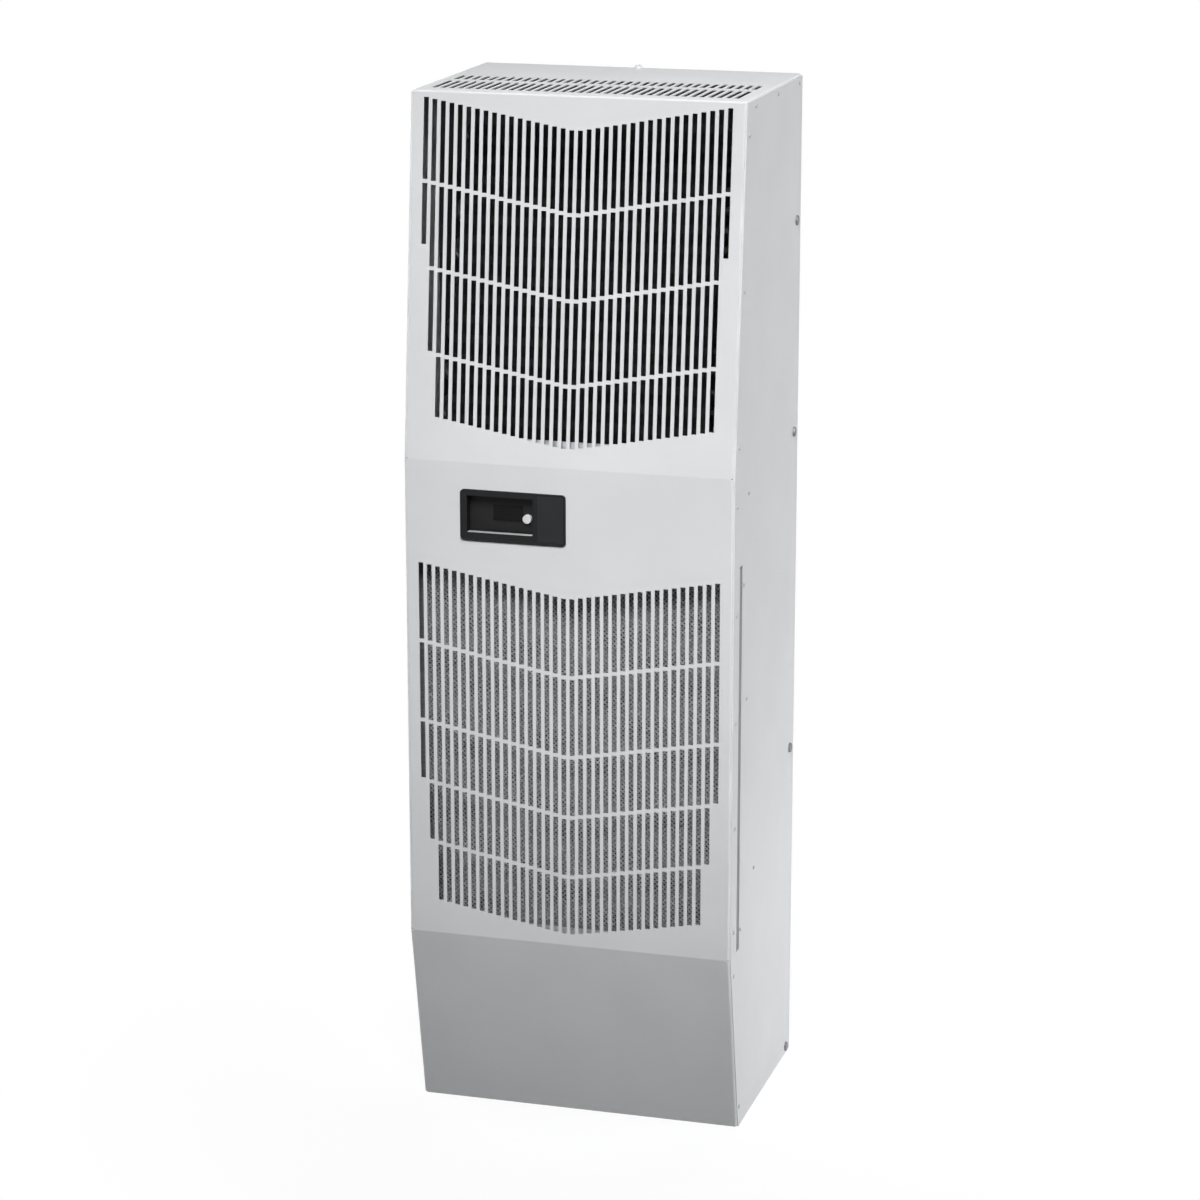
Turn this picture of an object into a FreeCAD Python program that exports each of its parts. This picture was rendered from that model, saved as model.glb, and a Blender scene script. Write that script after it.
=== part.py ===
# Enclosure air conditioner: a tall unit with a folded front cover and chevron slot grilles.
# Lengths are in millimetres. X points right, Y points to the rear mounting face, Z points up.
import FreeCAD, Part
import math
import os
import Sketcher

os.makedirs("parts", exist_ok=True)
doc = FreeCAD.newDocument("enclosure_air_conditioner")
dims = doc.addObject("Spreadsheet::Sheet", "dims")

SIZES = {
    # cabinet outline
    "cabinet_width": 426, "cabinet_height": 1324, "cabinet_depth": 336,
    "top_setback": 45, "bottom_setback": 49, "upper_bend_z": 869, "lower_bend_z": 245,
    "sheet": 1.5, "fold_radius": 3, "flange_width": 25, "side_inset": 2.5, "relief_radius": 1.6,
    # slot grilles and top vents
    "slot_width": 6.35, "slot_pitch": 11, "slot_long": 100, "slot_short": 75, "slot_web": 4.6,
    "chevron_rise": 1.98, "grille_margin": 15, "upper_grille_drop": 42, "upper_grille_foot": 24.2,
    "lower_grille_z": 703,
    "vent_margin": 27, "vent_long": 76, "vent_web": 12, "vent_short": 42,
    # fits
    "touch_gap": 0.05, "slide_gap": 0.3, "bearing_gap": 0.05,
    # cover bolts and top plug
    "bolt_depth": 22, "bolt_radius": 3, "bolt_head_radius": 6.8, "bolt_head_height": 2.4, "bolt_length": 9,
    "bolt_z_1": 9.5, "bolt_z_2": 434, "bolt_z_3": 863, "bolt_drop": 184.5,
    "plug_depth": 13, "plug_radius": 5, "plug_height": 5.5, "plug_stem_radius": 3, "plug_stem": 5,
    # air filter and guides
    "filter_setback": 38.5, "filter_thickness": 12.7, "filter_end_gap": 2.5, "filter_height": 500,
    "filter_low_z": 248.6, "filter_border": 13, "mesh_thickness": 8, "guide_sheet": 1, "guide_leg": 10,
    "filter_slot_width": 15, "filter_slot_margin": 2.6,
    # controller
    "bezel_left": -139, "bezel_width": 137, "bezel_low_z": 771, "bezel_height": 64.5, "bezel_proud": 3,
    "bezel_radius": 5, "sleeve_border": 5, "sleeve_depth": 22, "recess_left": -130, "recess_width": 86,
    "recess_low_z": 781, "recess_height": 47, "recess_depth": 13, "display_left": -99, "display_width": 38,
    "display_low_z": 796, "display_height": 19, "display_thickness": 1.5, "button_x": -54.3, "button_z": 800,
    "button_radius": 5.6, "button_proud": 5, "button_length": 12, "plate_left": -38, "plate_width": 33,
    "plate_margin": 3, "plate_thickness": 1, "case_depth": 24, "case_border": 9,
    # rear face
    "gasket_thickness": 3, "gasket_width": 15, "gasket_margin": 2, "rear_flange": 45,
    "insert_margin_x": 28, "insert_margin_z": 62, "insert_bore": 3.1, "insert_radius": 4.8,
    "insert_flange_radius": 7.5, "insert_flange": 1, "insert_length": 13,
    "return_radius": 80, "return_drop": 174, "supply_margin": 83, "supply_low_z": 140, "supply_height": 190,
    "entry_margin": 63, "entry_z": 440, "entry_radius": 12, "entry_lip": 3, "entry_bore": 8,
    "entry_flange": 2, "guard_bar": 2, "guard_step": 23, "guard_overlap": 10,
    # base and partition
    "floor": 2, "floor_setback": 3, "floor_lip": 15, "partition_depth": 105, "partition_flange": 20,
    "foam": 6, "foam_margin": 33, "foam_low_z": 30, "foam_drop": 24,
    # fan deck
    "deck_z": 880, "deck_setback": 14, "deck_lip": 20,
    # condenser blower
    "blower_z": 760, "scroll_margin": 118, "scroll_setback": 71, "scroll_gap": 0.5, "scroll_step": 6,
    "scroll_sheet": 1.2, "wheel_gap": 8, "inlet_lap": 10, "blade_span": 13, "wheel_play": 6,
    "wheel_ring": 5, "wheel_ring_wall": 4, "wheel_disc": 3, "wheel_blades": 28, "blade_thickness": 1,
    "hub_radius": 14, "hub_length": 24, "shaft_radius": 5, "shaft_cover": 30, "shaft_right": 22,
    "motor_margin": 23, "motor_length": 70, "motor_gap": 25, "motor_boss_radius": 20, "motor_boss": 8,
    "motor_edge": 7, "clamp_width": 20, "clamp_thickness": 2.5, "arm_inset": 4, "arm_thickness": 4,
    "arm_width": 16,
    # coils
    "coil_margin": 48, "end_plate": 1.5, "tube_pitch": 25, "bend_tube": 4.8,
    "condenser_tilt": 17, "condenser_thickness": 44, "condenser_headroom": 17, "condenser_setback": 20,
    "condenser_first_tube": 27, "evaporator_tilt": 8, "evaporator_thickness": 50, "evaporator_length": 300,
    "evaporator_first_tube": 25,
    # condensate pan
    "pan_z": 505, "pan_depth": 64, "pan_margin": 18, "pan_height": 21, "pan_wall": 1.2,
    "drain_margin": 63, "drain_depth": 40, "drain_radius": 7, "drain_bore": 5.5,
    # evaporator fan
    "fan_radius": 112, "fan_inlet": 74, "fan_collar_depth": 20, "fan_shroud_depth": 34, "fan_back_depth": 84,
    "fan_plate": 1.6, "fan_hub_radius": 42, "fan_hub_depth": 50, "fan_blades": 7, "fan_blade_inner": 50,
    "fan_blade_outer": 110, "fan_blade_thickness": 2, "ring_throat": 70, "ring_depth": 25,
    "ring_flange": 100, "stator_flange_radius": 55, "stator_flange": 4, "stator_boss_radius": 35,
    "stator_boss": 10,
    # compressor and accumulator
    "compressor_x": -85, "compressor_forward": 4, "compressor_room": 29, "compressor_height": 230,
    "compressor_dome": 20, "foot_thickness": 4, "foot_lap": 16, "foot_corner": 16, "grommet_radius": 11,
    "grommet_height": 12, "stud_radius": 4, "nut_radius": 7, "nut_height": 6, "terminal_width": 50,
    "terminal_depth": 36, "terminal_height": 22, "terminal_shift": 36,
    "accumulator_gap": 9, "accumulator_radius": 26, "accumulator_low_z": 60, "accumulator_height": 170,
    "elbow_radius": 6, "elbow_z": 42, "strap_z": 150, "strap_height": 20, "strap_width": 14,
    # refrigerant lines
    "riser_margin": 10, "discharge_radius": 4.75, "discharge_z": 285, "discharge_shift": 20,
    "liquid_radius": 3.2, "liquid_margin": 23, "liquid_setback": 74, "liquid_cross_z": 640, "pipe_bend": 11,
    "drier_radius": 18, "drier_low_z": 655, "drier_height": 105, "drier_taper": 12, "valve_depth": 60,
    "valve_low_z": 570, "valve_height": 40, "valve_radius": 13, "suction_radius": 6.35,
    "suction_rear": 92, "suction_depth": 140, "suction_z": 266, "pipe_hole_gap": 1.5,
    # control box
    "box_margin": 53, "box_width": 150, "box_low_z": 305, "box_height": 215, "box_depth": 84,
    "box_wall": 1.2, "block_width": 90, "block_height": 32, "block_depth": 26, "block_rise": 14,
    "contactor_width": 46, "contactor_height": 66, "contactor_depth": 54,
    "capacitor_radius": 21, "capacitor_height": 92,
    "contactor_rise": 80, "contactor_shift": 16, "capacitor_rise": 70, "capacitor_shift": 40,
}
for row, (alias, number) in enumerate(SIZES.items(), start=1):
    dims.set(f"A{row}", str(number))
    dims.setAlias(f"A{row}", alias)
doc.recompute()


class Size:
    """A length with its present number and the sheet expression that gives it."""

    def __init__(self, number, text):
        self.number = number
        self.text = text

    def __add__(self, other):
        other = as_size(other)
        return Size(self.number + other.number, f"({self.text} + {other.text})")

    def __radd__(self, other):
        return as_size(other) + self

    def __sub__(self, other):
        other = as_size(other)
        return Size(self.number - other.number, f"({self.text} - {other.text})")

    def __rsub__(self, other):
        return as_size(other) - self

    def __mul__(self, other):
        other = as_size(other)
        return Size(self.number * other.number, f"({self.text} * {other.text})")

    def __rmul__(self, other):
        return as_size(other) * self

    def __truediv__(self, other):
        other = as_size(other)
        return Size(self.number / other.number, f"({self.text} / {other.text})")

    def __neg__(self):
        return Size(-self.number, f"(0 - {self.text})")


def as_size(value):
    return value if isinstance(value, Size) else Size(float(value), repr(float(value)))


def root(size):
    return Size(math.sqrt(size.number), f"sqrt({size.text})")


def sine(angle):
    return Size(math.sin(math.radians(angle.number)), f"sin({angle.text} * 1 deg)")


def cosine(angle):
    return Size(math.cos(math.radians(angle.number)), f"cos({angle.text} * 1 deg)")


class Sheet:
    pass


s = Sheet()
for alias in SIZES:
    setattr(s, alias, Size(float(dims.get(alias)), "dims." + alias))

# The cabinet that everything else follows.
rear_y = (s.cabinet_depth + s.bezel_proud - s.gasket_thickness) / 2
half_width = s.cabinet_width / 2
inner_half = half_width - s.sheet
flange_half = inner_half - s.sheet
top_inside = s.cabinet_height - s.sheet
lower_slope = s.bottom_setback / s.lower_bend_z
upper_slope = s.top_setback / (s.cabinet_height - s.upper_bend_z)

# Across: each piece keeps a margin to the sides.
half_columns = int((half_width - s.grille_margin).number / s.slot_pitch.number + 0.001)
s.filter_width = s.cabinet_width - s.filter_end_gap * 2
s.insert_x = half_width - s.insert_margin_x
s.entry_x = s.entry_margin - half_width
s.supply_width = s.cabinet_width - s.supply_margin * 2
s.foam_width = s.cabinet_width - s.foam_margin * 2
s.scroll_width = s.cabinet_width - s.scroll_margin * 2
s.wheel_width = s.scroll_width - s.wheel_play * 2
s.motor_left = s.motor_margin - half_width
s.motor_right = s.motor_left + s.motor_length
s.shaft_left = s.motor_left + s.shaft_cover
s.coil_half = half_width - s.coil_margin
s.pan_width = s.cabinet_width - s.pan_margin * 2
s.drain_x = half_width - s.drain_margin
s.riser_x = half_width - s.riser_margin
s.liquid_x = half_width - s.liquid_margin
s.box_left = half_width - s.box_margin - s.box_width

# Deep: each piece keeps a setback to the front or to the partition.
s.top_depth = s.cabinet_depth - s.top_setback
s.bottom_depth = s.cabinet_depth - s.bottom_setback
s.filter_depth = s.cabinet_depth - s.filter_setback
s.floor_front = s.bottom_depth - s.floor_setback
s.deck_front = s.cabinet_depth - s.deck_setback
scroll_rear = s.partition_depth + s.sheet + s.scroll_gap
s.scroll_start = (s.cabinet_depth - s.scroll_setback - scroll_rear - s.scroll_step * 3) / 2
s.blower_depth = scroll_rear + s.scroll_start + s.scroll_step * 3
s.wheel_radius = s.scroll_start - s.wheel_gap
s.wheel_inner = s.wheel_radius - s.blade_span
s.inlet_radius = s.wheel_radius - s.inlet_lap
s.motor_radius = s.scroll_start - s.motor_gap
s.arm_radius = s.scroll_start - s.arm_inset
s.condenser_front = s.cabinet_depth - s.condenser_setback
s.liquid_depth = s.cabinet_depth - s.liquid_setback
s.compressor_depth = (s.bottom_depth + s.partition_depth) / 2 + s.compressor_forward
s.compressor_radius = (s.bottom_depth - s.partition_depth) / 2 - s.compressor_room
s.foot_reach = s.compressor_radius + s.foot_lap
s.accumulator_x = s.compressor_x + s.compressor_radius + s.accumulator_radius + s.accumulator_gap

# Upright: the upper pieces keep a drop from the top.
s.upper_grille_z = s.cabinet_height - s.upper_grille_drop
upper_room = s.upper_grille_z - s.upper_bend_z - s.upper_grille_foot
SHORT_ROW = 0.75
s.upper_slot = (upper_room - s.slot_web * 3) / (3 + SHORT_ROW)
s.bolt_z_4 = s.cabinet_height - s.bolt_drop
s.insert_step_z = (s.cabinet_height - s.insert_margin_z * 2) / 3
s.return_z = s.cabinet_height - s.return_drop
s.guard_reach = s.return_radius + s.guard_overlap
s.foam_high_z = s.cabinet_height - s.foam_drop
coil_foot = s.deck_z + s.sheet + s.touch_gap + s.condenser_thickness * sine(s.condenser_tilt)
s.condenser_length = (top_inside - s.condenser_headroom - coil_foot) / cosine(s.condenser_tilt)
BOLT_HEIGHTS = [s.bolt_z_1, s.bolt_z_2, s.bolt_z_3, s.bolt_z_4]
pieces = []


def depth(size):
    """The Y of a point this far in front of the rear metal face."""
    return rear_y - size


def bind(thing, name, size):
    thing.setExpression(name, as_size(size).text)


# Sketch and feature helpers.
def new_body(label):
    body = doc.addObject("PartDesign::Body", label)
    body.Label = label
    pieces.append(body)
    return body


def origin_of(body, role):
    return next(item for item in body.Origin.OriginFeatures if item.Role == role)


def new_sketch(body, role, offset=None):
    sketch = body.newObject("Sketcher::SketchObject", "sketch")
    sketch.AttachmentSupport = [(origin_of(body, role), "")]
    sketch.MapMode = "FlatFace"
    if offset is not None:
        bind(sketch, "AttachmentOffset.Base.z", offset)
    return sketch


def pin_point(sketch, edge, point, across, up):
    """Hold one point of a sketch edge at sheet-driven coordinates."""
    across, up = as_size(across), as_size(up)
    rows = sketch.addConstraint([
        Sketcher.Constraint("DistanceX", -1, 1, edge, point, across.number),
        Sketcher.Constraint("DistanceY", -1, 1, edge, point, up.number)])
    sketch.setExpression(f"Constraints[{rows[0]}]", across.text)
    sketch.setExpression(f"Constraints[{rows[1]}]", up.text)


def vector_of(point):
    return FreeCAD.Vector(*[as_size(value).number for value in point])


def add_polygon(sketch, points):
    corners = [vector_of((across, up, 0)) for across, up in points]
    count = len(corners)
    lines = [Part.LineSegment(corners[i], corners[(i + 1) % count]) for i in range(count)]
    edges = sketch.addGeometry(lines, False)
    sketch.addConstraint([
        Sketcher.Constraint("Coincident", edges[i], 2, edges[(i + 1) % count], 1) for i in range(count)])
    for edge, (across, up) in zip(edges, points):
        pin_point(sketch, edge, 1, across, up)


def add_rectangle(sketch, left, right, low, high):
    add_polygon(sketch, [(left, low), (right, low), (right, high), (left, high)])


def add_circle(sketch, across, up, radius):
    centre = vector_of((across, up, 0))
    edge = sketch.addGeometry(Part.Circle(centre, FreeCAD.Vector(0, 0, 1), as_size(radius).number), False)
    pin_point(sketch, edge, 3, across, up)
    row = sketch.addConstraint(Sketcher.Constraint("Radius", edge, as_size(radius).number))
    sketch.setExpression(f"Constraints[{row}]", as_size(radius).text)


def pad(body, sketch, length, both_ways=False, backwards=False):
    feature = body.newObject("PartDesign::Pad", "pad")
    feature.Profile = sketch
    feature.Midplane = both_ways
    feature.Reversed = backwards
    bind(feature, "Length", length)
    return feature


def pocket(body, sketch, length=None, both_ways=False, backwards=False):
    feature = body.newObject("PartDesign::Pocket", "pocket")
    feature.Profile = sketch
    feature.Midplane = both_ways
    feature.Reversed = backwards
    if length is None:
        feature.Type = "ThroughAll"
    else:
        bind(feature, "Length", length)
    return feature


def fillet(body, base, edge_test, radius):
    doc.recompute()
    names = [f"Edge{i}" for i, edge in enumerate(base.Shape.Edges, start=1) if edge_test(edge)]
    feature = body.newObject("PartDesign::Fillet", "fillet")
    feature.Base = (base, names)
    bind(feature, "Radius", radius)
    return feature


def mirror(body, originals):
    feature = body.newObject("PartDesign::Mirrored", "mirrored")
    feature.Originals = originals
    feature.MirrorPlane = (origin_of(body, "YZ_Plane"), [""])
    body.Tip = feature
    return feature


def linear_step(body, direction, count, length):
    feature = body.newObject("PartDesign::LinearPattern", "row")
    feature.Direction = direction
    bind(feature, "Occurrences", count)
    bind(feature, "Length", length)
    return feature


def polar(body, originals, axis_role, count):
    feature = body.newObject("PartDesign::PolarPattern", "round_pattern")
    feature.Originals = originals
    feature.Axis = (origin_of(body, axis_role), [""])
    feature.Angle = 360
    bind(feature, "Occurrences", count)
    body.Tip = feature
    return feature


def revolve(body, plane, axis_role, points):
    sketch = new_sketch(body, plane)
    add_polygon(sketch, points)
    feature = body.newObject("PartDesign::Revolution", "revolution")
    feature.Profile = sketch
    feature.ReferenceAxis = (origin_of(body, axis_role), [""])
    feature.Angle = 360
    return feature


def place(thing, across, back, up):
    bind(thing, "Placement.Base.x", across)
    bind(thing, "Placement.Base.y", back)
    bind(thing, "Placement.Base.z", up)


def block(label, left, right, front, back, low, high):
    """A plain box between two corners; it is one finished piece when it has a label."""
    box = doc.addObject("Part::Box", label or "block")
    bind(box, "Length", as_size(right) - left)
    bind(box, "Width", as_size(back) - front)
    bind(box, "Height", as_size(high) - low)
    place(box, left, front, low)
    if label:
        box.Label = label
        pieces.append(box)
    return box


def rod(label, across, back, low, high, radius):
    """A plain upright cylinder."""
    cylinder = doc.addObject("Part::Cylinder", label or "rod")
    bind(cylinder, "Radius", radius)
    bind(cylinder, "Height", as_size(high) - low)
    place(cylinder, across, back, low)
    if label:
        cylinder.Label = label
        pieces.append(cylinder)
    return cylinder


def cut(label, base, tools):
    """A base solid with other solids taken out of it."""
    for tool in tools:
        result = doc.addObject("Part::Cut", label)
        result.Base = base
        result.Tool = tool
        base = result
    base.Label = label
    pieces.append(base)
    return base


def wrap_outline(inset, overrun):
    """Side view of the folded cover, moved inward by an inset; the rear and the bottom can run over."""
    lower_factor = root(1 + lower_slope * lower_slope)
    upper_factor = root(1 + upper_slope * upper_slope)
    ceiling = s.cabinet_height - inset
    bottom = s.bottom_depth - lower_slope * overrun - lower_factor * inset
    lower_bend = s.lower_bend_z + (lower_factor - 1) / lower_slope * inset
    upper_bend = s.upper_bend_z - (upper_factor - 1) / upper_slope * inset
    top_front = s.cabinet_depth - (ceiling - s.upper_bend_z) * upper_slope - upper_factor * inset
    return [
        (depth(bottom), -as_size(overrun)),
        (depth(s.cabinet_depth - inset), lower_bend),
        (depth(s.cabinet_depth - inset), upper_bend),
        (depth(top_front), ceiling),
        (rear_y + overrun, ceiling),
        (rear_y + overrun, -as_size(overrun))]


# Folded front cover with its grilles.
def is_fold(edge):
    """True for the top front bend and for the cover edges that fold into the side flanges."""
    points = [vertex.Point for vertex in edge.Vertexes]
    front_half = all(point.y < rear_y.number - 1 for point in points)
    across = abs(points[0].x - points[1].x) > 1
    low = all(point.z < 1 for point in points)
    at_top = all(abs(point.z - s.cabinet_height.number) < 0.001 for point in points)
    return at_top and front_half if across else (at_top or front_half) and not low


def stacked(top, lengths):
    """Tops of rows that follow one another downward with a web between them."""
    tops = []
    for length in lengths:
        tops.append(top)
        top = top - length - s.slot_web
    return tops


def punch(column, side, length, travel, corner):
    """One slot punch; columns count outward from the middle and corner gives its lowest Y and Z."""
    centre = s.slot_pitch.number * (column + 0.5) * side
    width = s.slot_width.number
    across = FreeCAD.Vector(centre - width / 2, *corner)
    return Part.makeBox(width, length, travel, across)


def grille_slots():
    """Column, side, top and length of each grille slot; the outer columns miss some rows."""
    upper = [s.upper_slot, s.upper_slot, s.upper_slot, s.upper_slot * SHORT_ROW]
    lower = [s.slot_long, s.slot_long, s.slot_short, s.slot_short, s.slot_short]
    rows = list(zip(stacked(s.upper_grille_z, upper), upper, (0, 1, 1, 2), (0, 1, 1, 1)))
    rows += zip(stacked(s.lower_grille_z, lower), lower, (0, 0, 0, 1, 2), (0, 0, 0, 1, 2))
    slots = []
    for top, length, left_missing, right_missing in rows:
        slots += [(column, -1, top, length) for column in range(half_columns - left_missing)]
        slots += [(column, 1, top, length) for column in range(half_columns - right_missing)]
    second_row = rows[1][0]
    return slots + [(half_columns - 1, side, second_row, upper[3]) for side in (-1, 1)]


def grille_punches():
    """Upright slots that step up along the chevron on both sides of the middle."""
    front = depth(s.cabinet_depth + 1).number
    travel = s.top_setback.number + s.sheet.number * 4
    punches = []
    for column, side, top, length in grille_slots():
        low = top.number + s.chevron_rise.number * column - length.number
        punches.append(punch(column, side, travel, length.number, (front, low)))
    return punches


def vent_punches():
    """Two rows of slots along the depth of the top."""
    first = depth(s.top_depth - s.vent_margin)
    second = first + s.vent_long + s.vent_web
    low = (s.cabinet_height - s.sheet * 4).number
    punches = []
    for start, length in ((first, s.vent_long), (second, s.vent_short)):
        for column in range(half_columns):
            for side in (-1, 1):
                punches.append(punch(column, side, length.number, 20, (start.number, low)))
    return punches


def cover_openings(body):
    opening = new_sketch(body, "XZ_Plane")
    left, right, low, high = sleeve_box(s.slide_gap)
    add_rectangle(opening, left, right, low, high)
    pocket(body, opening, backwards=True)
    hole = new_sketch(body, "XY_Plane")
    add_circle(hole, 0, depth(s.plug_depth), s.plug_stem_radius + s.touch_gap)
    pocket(body, hole, backwards=True)
    relief = new_sketch(body, "YZ_Plane", inner_half)
    for back, up in wrap_outline(0, 0)[1:4]:
        add_circle(relief, back, up, s.relief_radius)
    corner = pocket(body, relief, s.fold_radius)
    mirror(body, [corner])


def front_cover():
    body = doc.addObject("PartDesign::Body", "folded_cover")
    outline = new_sketch(body, "YZ_Plane")
    add_polygon(outline, wrap_outline(0, 0))
    solid = pad(body, outline, inner_half * 2, both_ways=True)
    fillet(body, solid, is_fold, s.fold_radius)
    inside = new_sketch(body, "YZ_Plane")
    add_polygon(inside, wrap_outline(s.sheet, 10))
    pocket(body, inside, flange_half * 2, both_ways=True)
    trim = new_sketch(body, "YZ_Plane")
    add_polygon(trim, wrap_outline(s.flange_width, 10))
    pocket(body, trim, both_ways=True)
    cover_openings(body)
    slots = doc.addObject("Part::Feature", "slot_punches")
    slots.Shape = Part.makeCompound(grille_punches() + vent_punches())
    cut("front_cover", body, [slots])


# Side panels, bolts and plug.
def side_panel(label, side):
    body = new_body(label)
    start = inner_half if side > 0 else -half_width
    outline = new_sketch(body, "YZ_Plane", start)
    add_polygon(outline, wrap_outline(s.side_inset, 0))
    pad(body, outline, s.sheet)
    holes = new_sketch(body, "YZ_Plane", start)
    for up in BOLT_HEIGHTS:
        add_circle(holes, depth(s.bolt_depth), up, s.bolt_radius + s.touch_gap)
    if side > 0:
        middle = depth(s.filter_depth)
        low = s.filter_low_z - s.filter_slot_margin
        high = s.filter_low_z + s.filter_height + s.filter_slot_margin
        add_rectangle(holes, middle - s.filter_slot_width / 2, middle + s.filter_slot_width / 2, low, high)
    pocket(body, holes, both_ways=True)


def cover_bolts():
    body = new_body("cover_bolts")
    heads = new_sketch(body, "YZ_Plane", half_width)
    shanks = new_sketch(body, "YZ_Plane", half_width)
    for up in BOLT_HEIGHTS:
        add_circle(heads, depth(s.bolt_depth), up, s.bolt_head_radius)
        add_circle(shanks, depth(s.bolt_depth), up, s.bolt_radius)
    head = pad(body, heads, s.bolt_head_height)
    head.TaperAngle = -20
    shank = pad(body, shanks, s.bolt_length, backwards=True)
    mirror(body, [head, shank])


def top_plug():
    body = new_body("top_plug")
    tip, rim, stem = s.plug_height, s.plug_radius, s.plug_stem_radius
    revolve(body, "XZ_Plane", "Z_Axis", [
        (0, -s.plug_stem), (stem, -s.plug_stem), (stem, 0), (rim, 0), (rim, tip * 0.4),
        (rim * 0.87, tip * 0.72), (rim * 0.5, tip * 0.94), (0, tip)])
    place(body, 0, depth(s.plug_depth), s.cabinet_height)


# Rear chassis, base and partition.
def corner_notches(body, front):
    """Room at the top corners for the flanges of the folded cover."""
    notch = new_sketch(body, "XZ_Plane", -as_size(front))
    low = s.cabinet_height - s.flange_width - s.slide_gap
    add_rectangle(notch, flange_half - s.slide_gap, half_width, low, s.cabinet_height)
    first = pocket(body, notch, both_ways=True)
    mirror(body, [first])


def channel_panel(label, face, flange, low):
    """An upright panel with two side flanges folded forward; face is the Y of its rear side."""
    body = new_body(label)
    front, fold = face - s.sheet, face - flange
    section = new_sketch(body, "XY_Plane", low)
    add_polygon(section, [
        (-inner_half, face), (inner_half, face), (inner_half, fold), (flange_half, fold),
        (flange_half, front), (-flange_half, front), (-flange_half, fold), (-inner_half, fold)])
    pad(body, section, top_inside - low)
    corner_notches(body, face)
    return body


def back_panel():
    body = channel_panel("back_panel", rear_y, s.rear_flange, as_size(0))
    holes = new_sketch(body, "XZ_Plane", -rear_y)
    for side in (-1, 1):
        for up in insert_heights():
            add_circle(holes, s.insert_x * side, up, s.insert_radius + s.touch_gap)
    add_circle(holes, 0, s.return_z, s.return_radius)
    add_circle(holes, s.entry_x, s.entry_z, s.entry_radius + s.touch_gap)
    half, low = s.supply_width / 2, s.supply_low_z
    add_rectangle(holes, -half, half, low, low + s.supply_height)
    pocket(body, holes, s.sheet * 4, both_ways=True)
    sides = new_sketch(body, "YZ_Plane")
    for up in BOLT_HEIGHTS:
        add_circle(sides, depth(s.bolt_depth), up, s.bolt_radius + s.touch_gap)
    pocket(body, sides, both_ways=True)


def insert_heights():
    return [s.insert_margin_z + s.insert_step_z * i for i in range(4)]


def mounting_inserts():
    body = new_body("mounting_inserts")
    outer_face = rear_y + s.insert_flange
    flanges = new_sketch(body, "XZ_Plane", -outer_face)
    barrels = new_sketch(body, "XZ_Plane", -rear_y)
    bores = new_sketch(body, "XZ_Plane", -outer_face)
    for side in (-1, 1):
        for up in insert_heights():
            add_circle(flanges, s.insert_x * side, up, s.insert_flange_radius)
            add_circle(barrels, s.insert_x * side, up, s.insert_radius)
            add_circle(bores, s.insert_x * side, up, s.insert_bore)
    pad(body, flanges, s.insert_flange)
    pad(body, barrels, s.insert_length)
    pocket(body, bores, both_ways=True)


def mounting_gasket():
    body = new_body("mounting_gasket")
    frame = new_sketch(body, "XZ_Plane", -rear_y)
    outer = half_width - s.gasket_margin
    inner = outer - s.gasket_width
    low, high = s.gasket_margin, s.cabinet_height - s.gasket_margin
    add_rectangle(frame, -outer, outer, low, high)
    add_rectangle(frame, -inner, inner, low + s.gasket_width, high - s.gasket_width)
    pad(body, frame, s.gasket_thickness, backwards=True)


def power_entry():
    body = new_body("power_entry_grommet")
    lip = s.entry_radius + s.entry_lip
    back, front = s.entry_flange, -s.sheet
    revolve(body, "XY_Plane", "Y_Axis", [
        (s.entry_bore, back), (lip, back), (lip, 0), (s.entry_radius, 0), (s.entry_radius, front),
        (lip, front), (lip, front - s.entry_flange), (s.entry_bore, front - s.entry_flange)])
    place(body, s.entry_x, rear_y, s.entry_z)


def base_pan():
    body = new_body("base_pan")
    section = new_sketch(body, "YZ_Plane")
    front, back = depth(s.floor_front), depth(s.sheet)
    add_polygon(section, [
        (front, 0), (back, 0), (back, s.floor), (front + s.sheet, s.floor),
        (front + s.sheet, s.floor_lip), (front, s.floor_lip)])
    pad(body, section, flange_half * 2, both_ways=True)
    hole = new_sketch(body, "XY_Plane")
    add_circle(hole, s.drain_x, depth(s.drain_depth), s.drain_radius + s.touch_gap)
    pocket(body, hole, both_ways=True)


def partition():
    face = depth(s.partition_depth)
    body = channel_panel("partition", face, s.partition_flange, s.floor)
    holes = new_sketch(body, "XZ_Plane", -face)
    add_circle(holes, s.liquid_x, s.liquid_cross_z, s.liquid_radius + s.pipe_hole_gap)
    add_circle(holes, s.riser_x, s.suction_z, s.suction_radius + s.pipe_hole_gap)
    pocket(body, holes, s.sheet * 4, both_ways=True)


def partition_foam():
    body = new_body("partition_foam")
    face = new_sketch(body, "XZ_Plane", -depth(s.partition_depth))
    add_rectangle(face, -s.foam_width / 2, s.foam_width / 2, s.foam_low_z, s.foam_high_z)
    add_circle(face, 0, s.return_z, s.stator_flange_radius + s.slide_gap)
    pad(body, face, s.foam, backwards=True)


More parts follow.
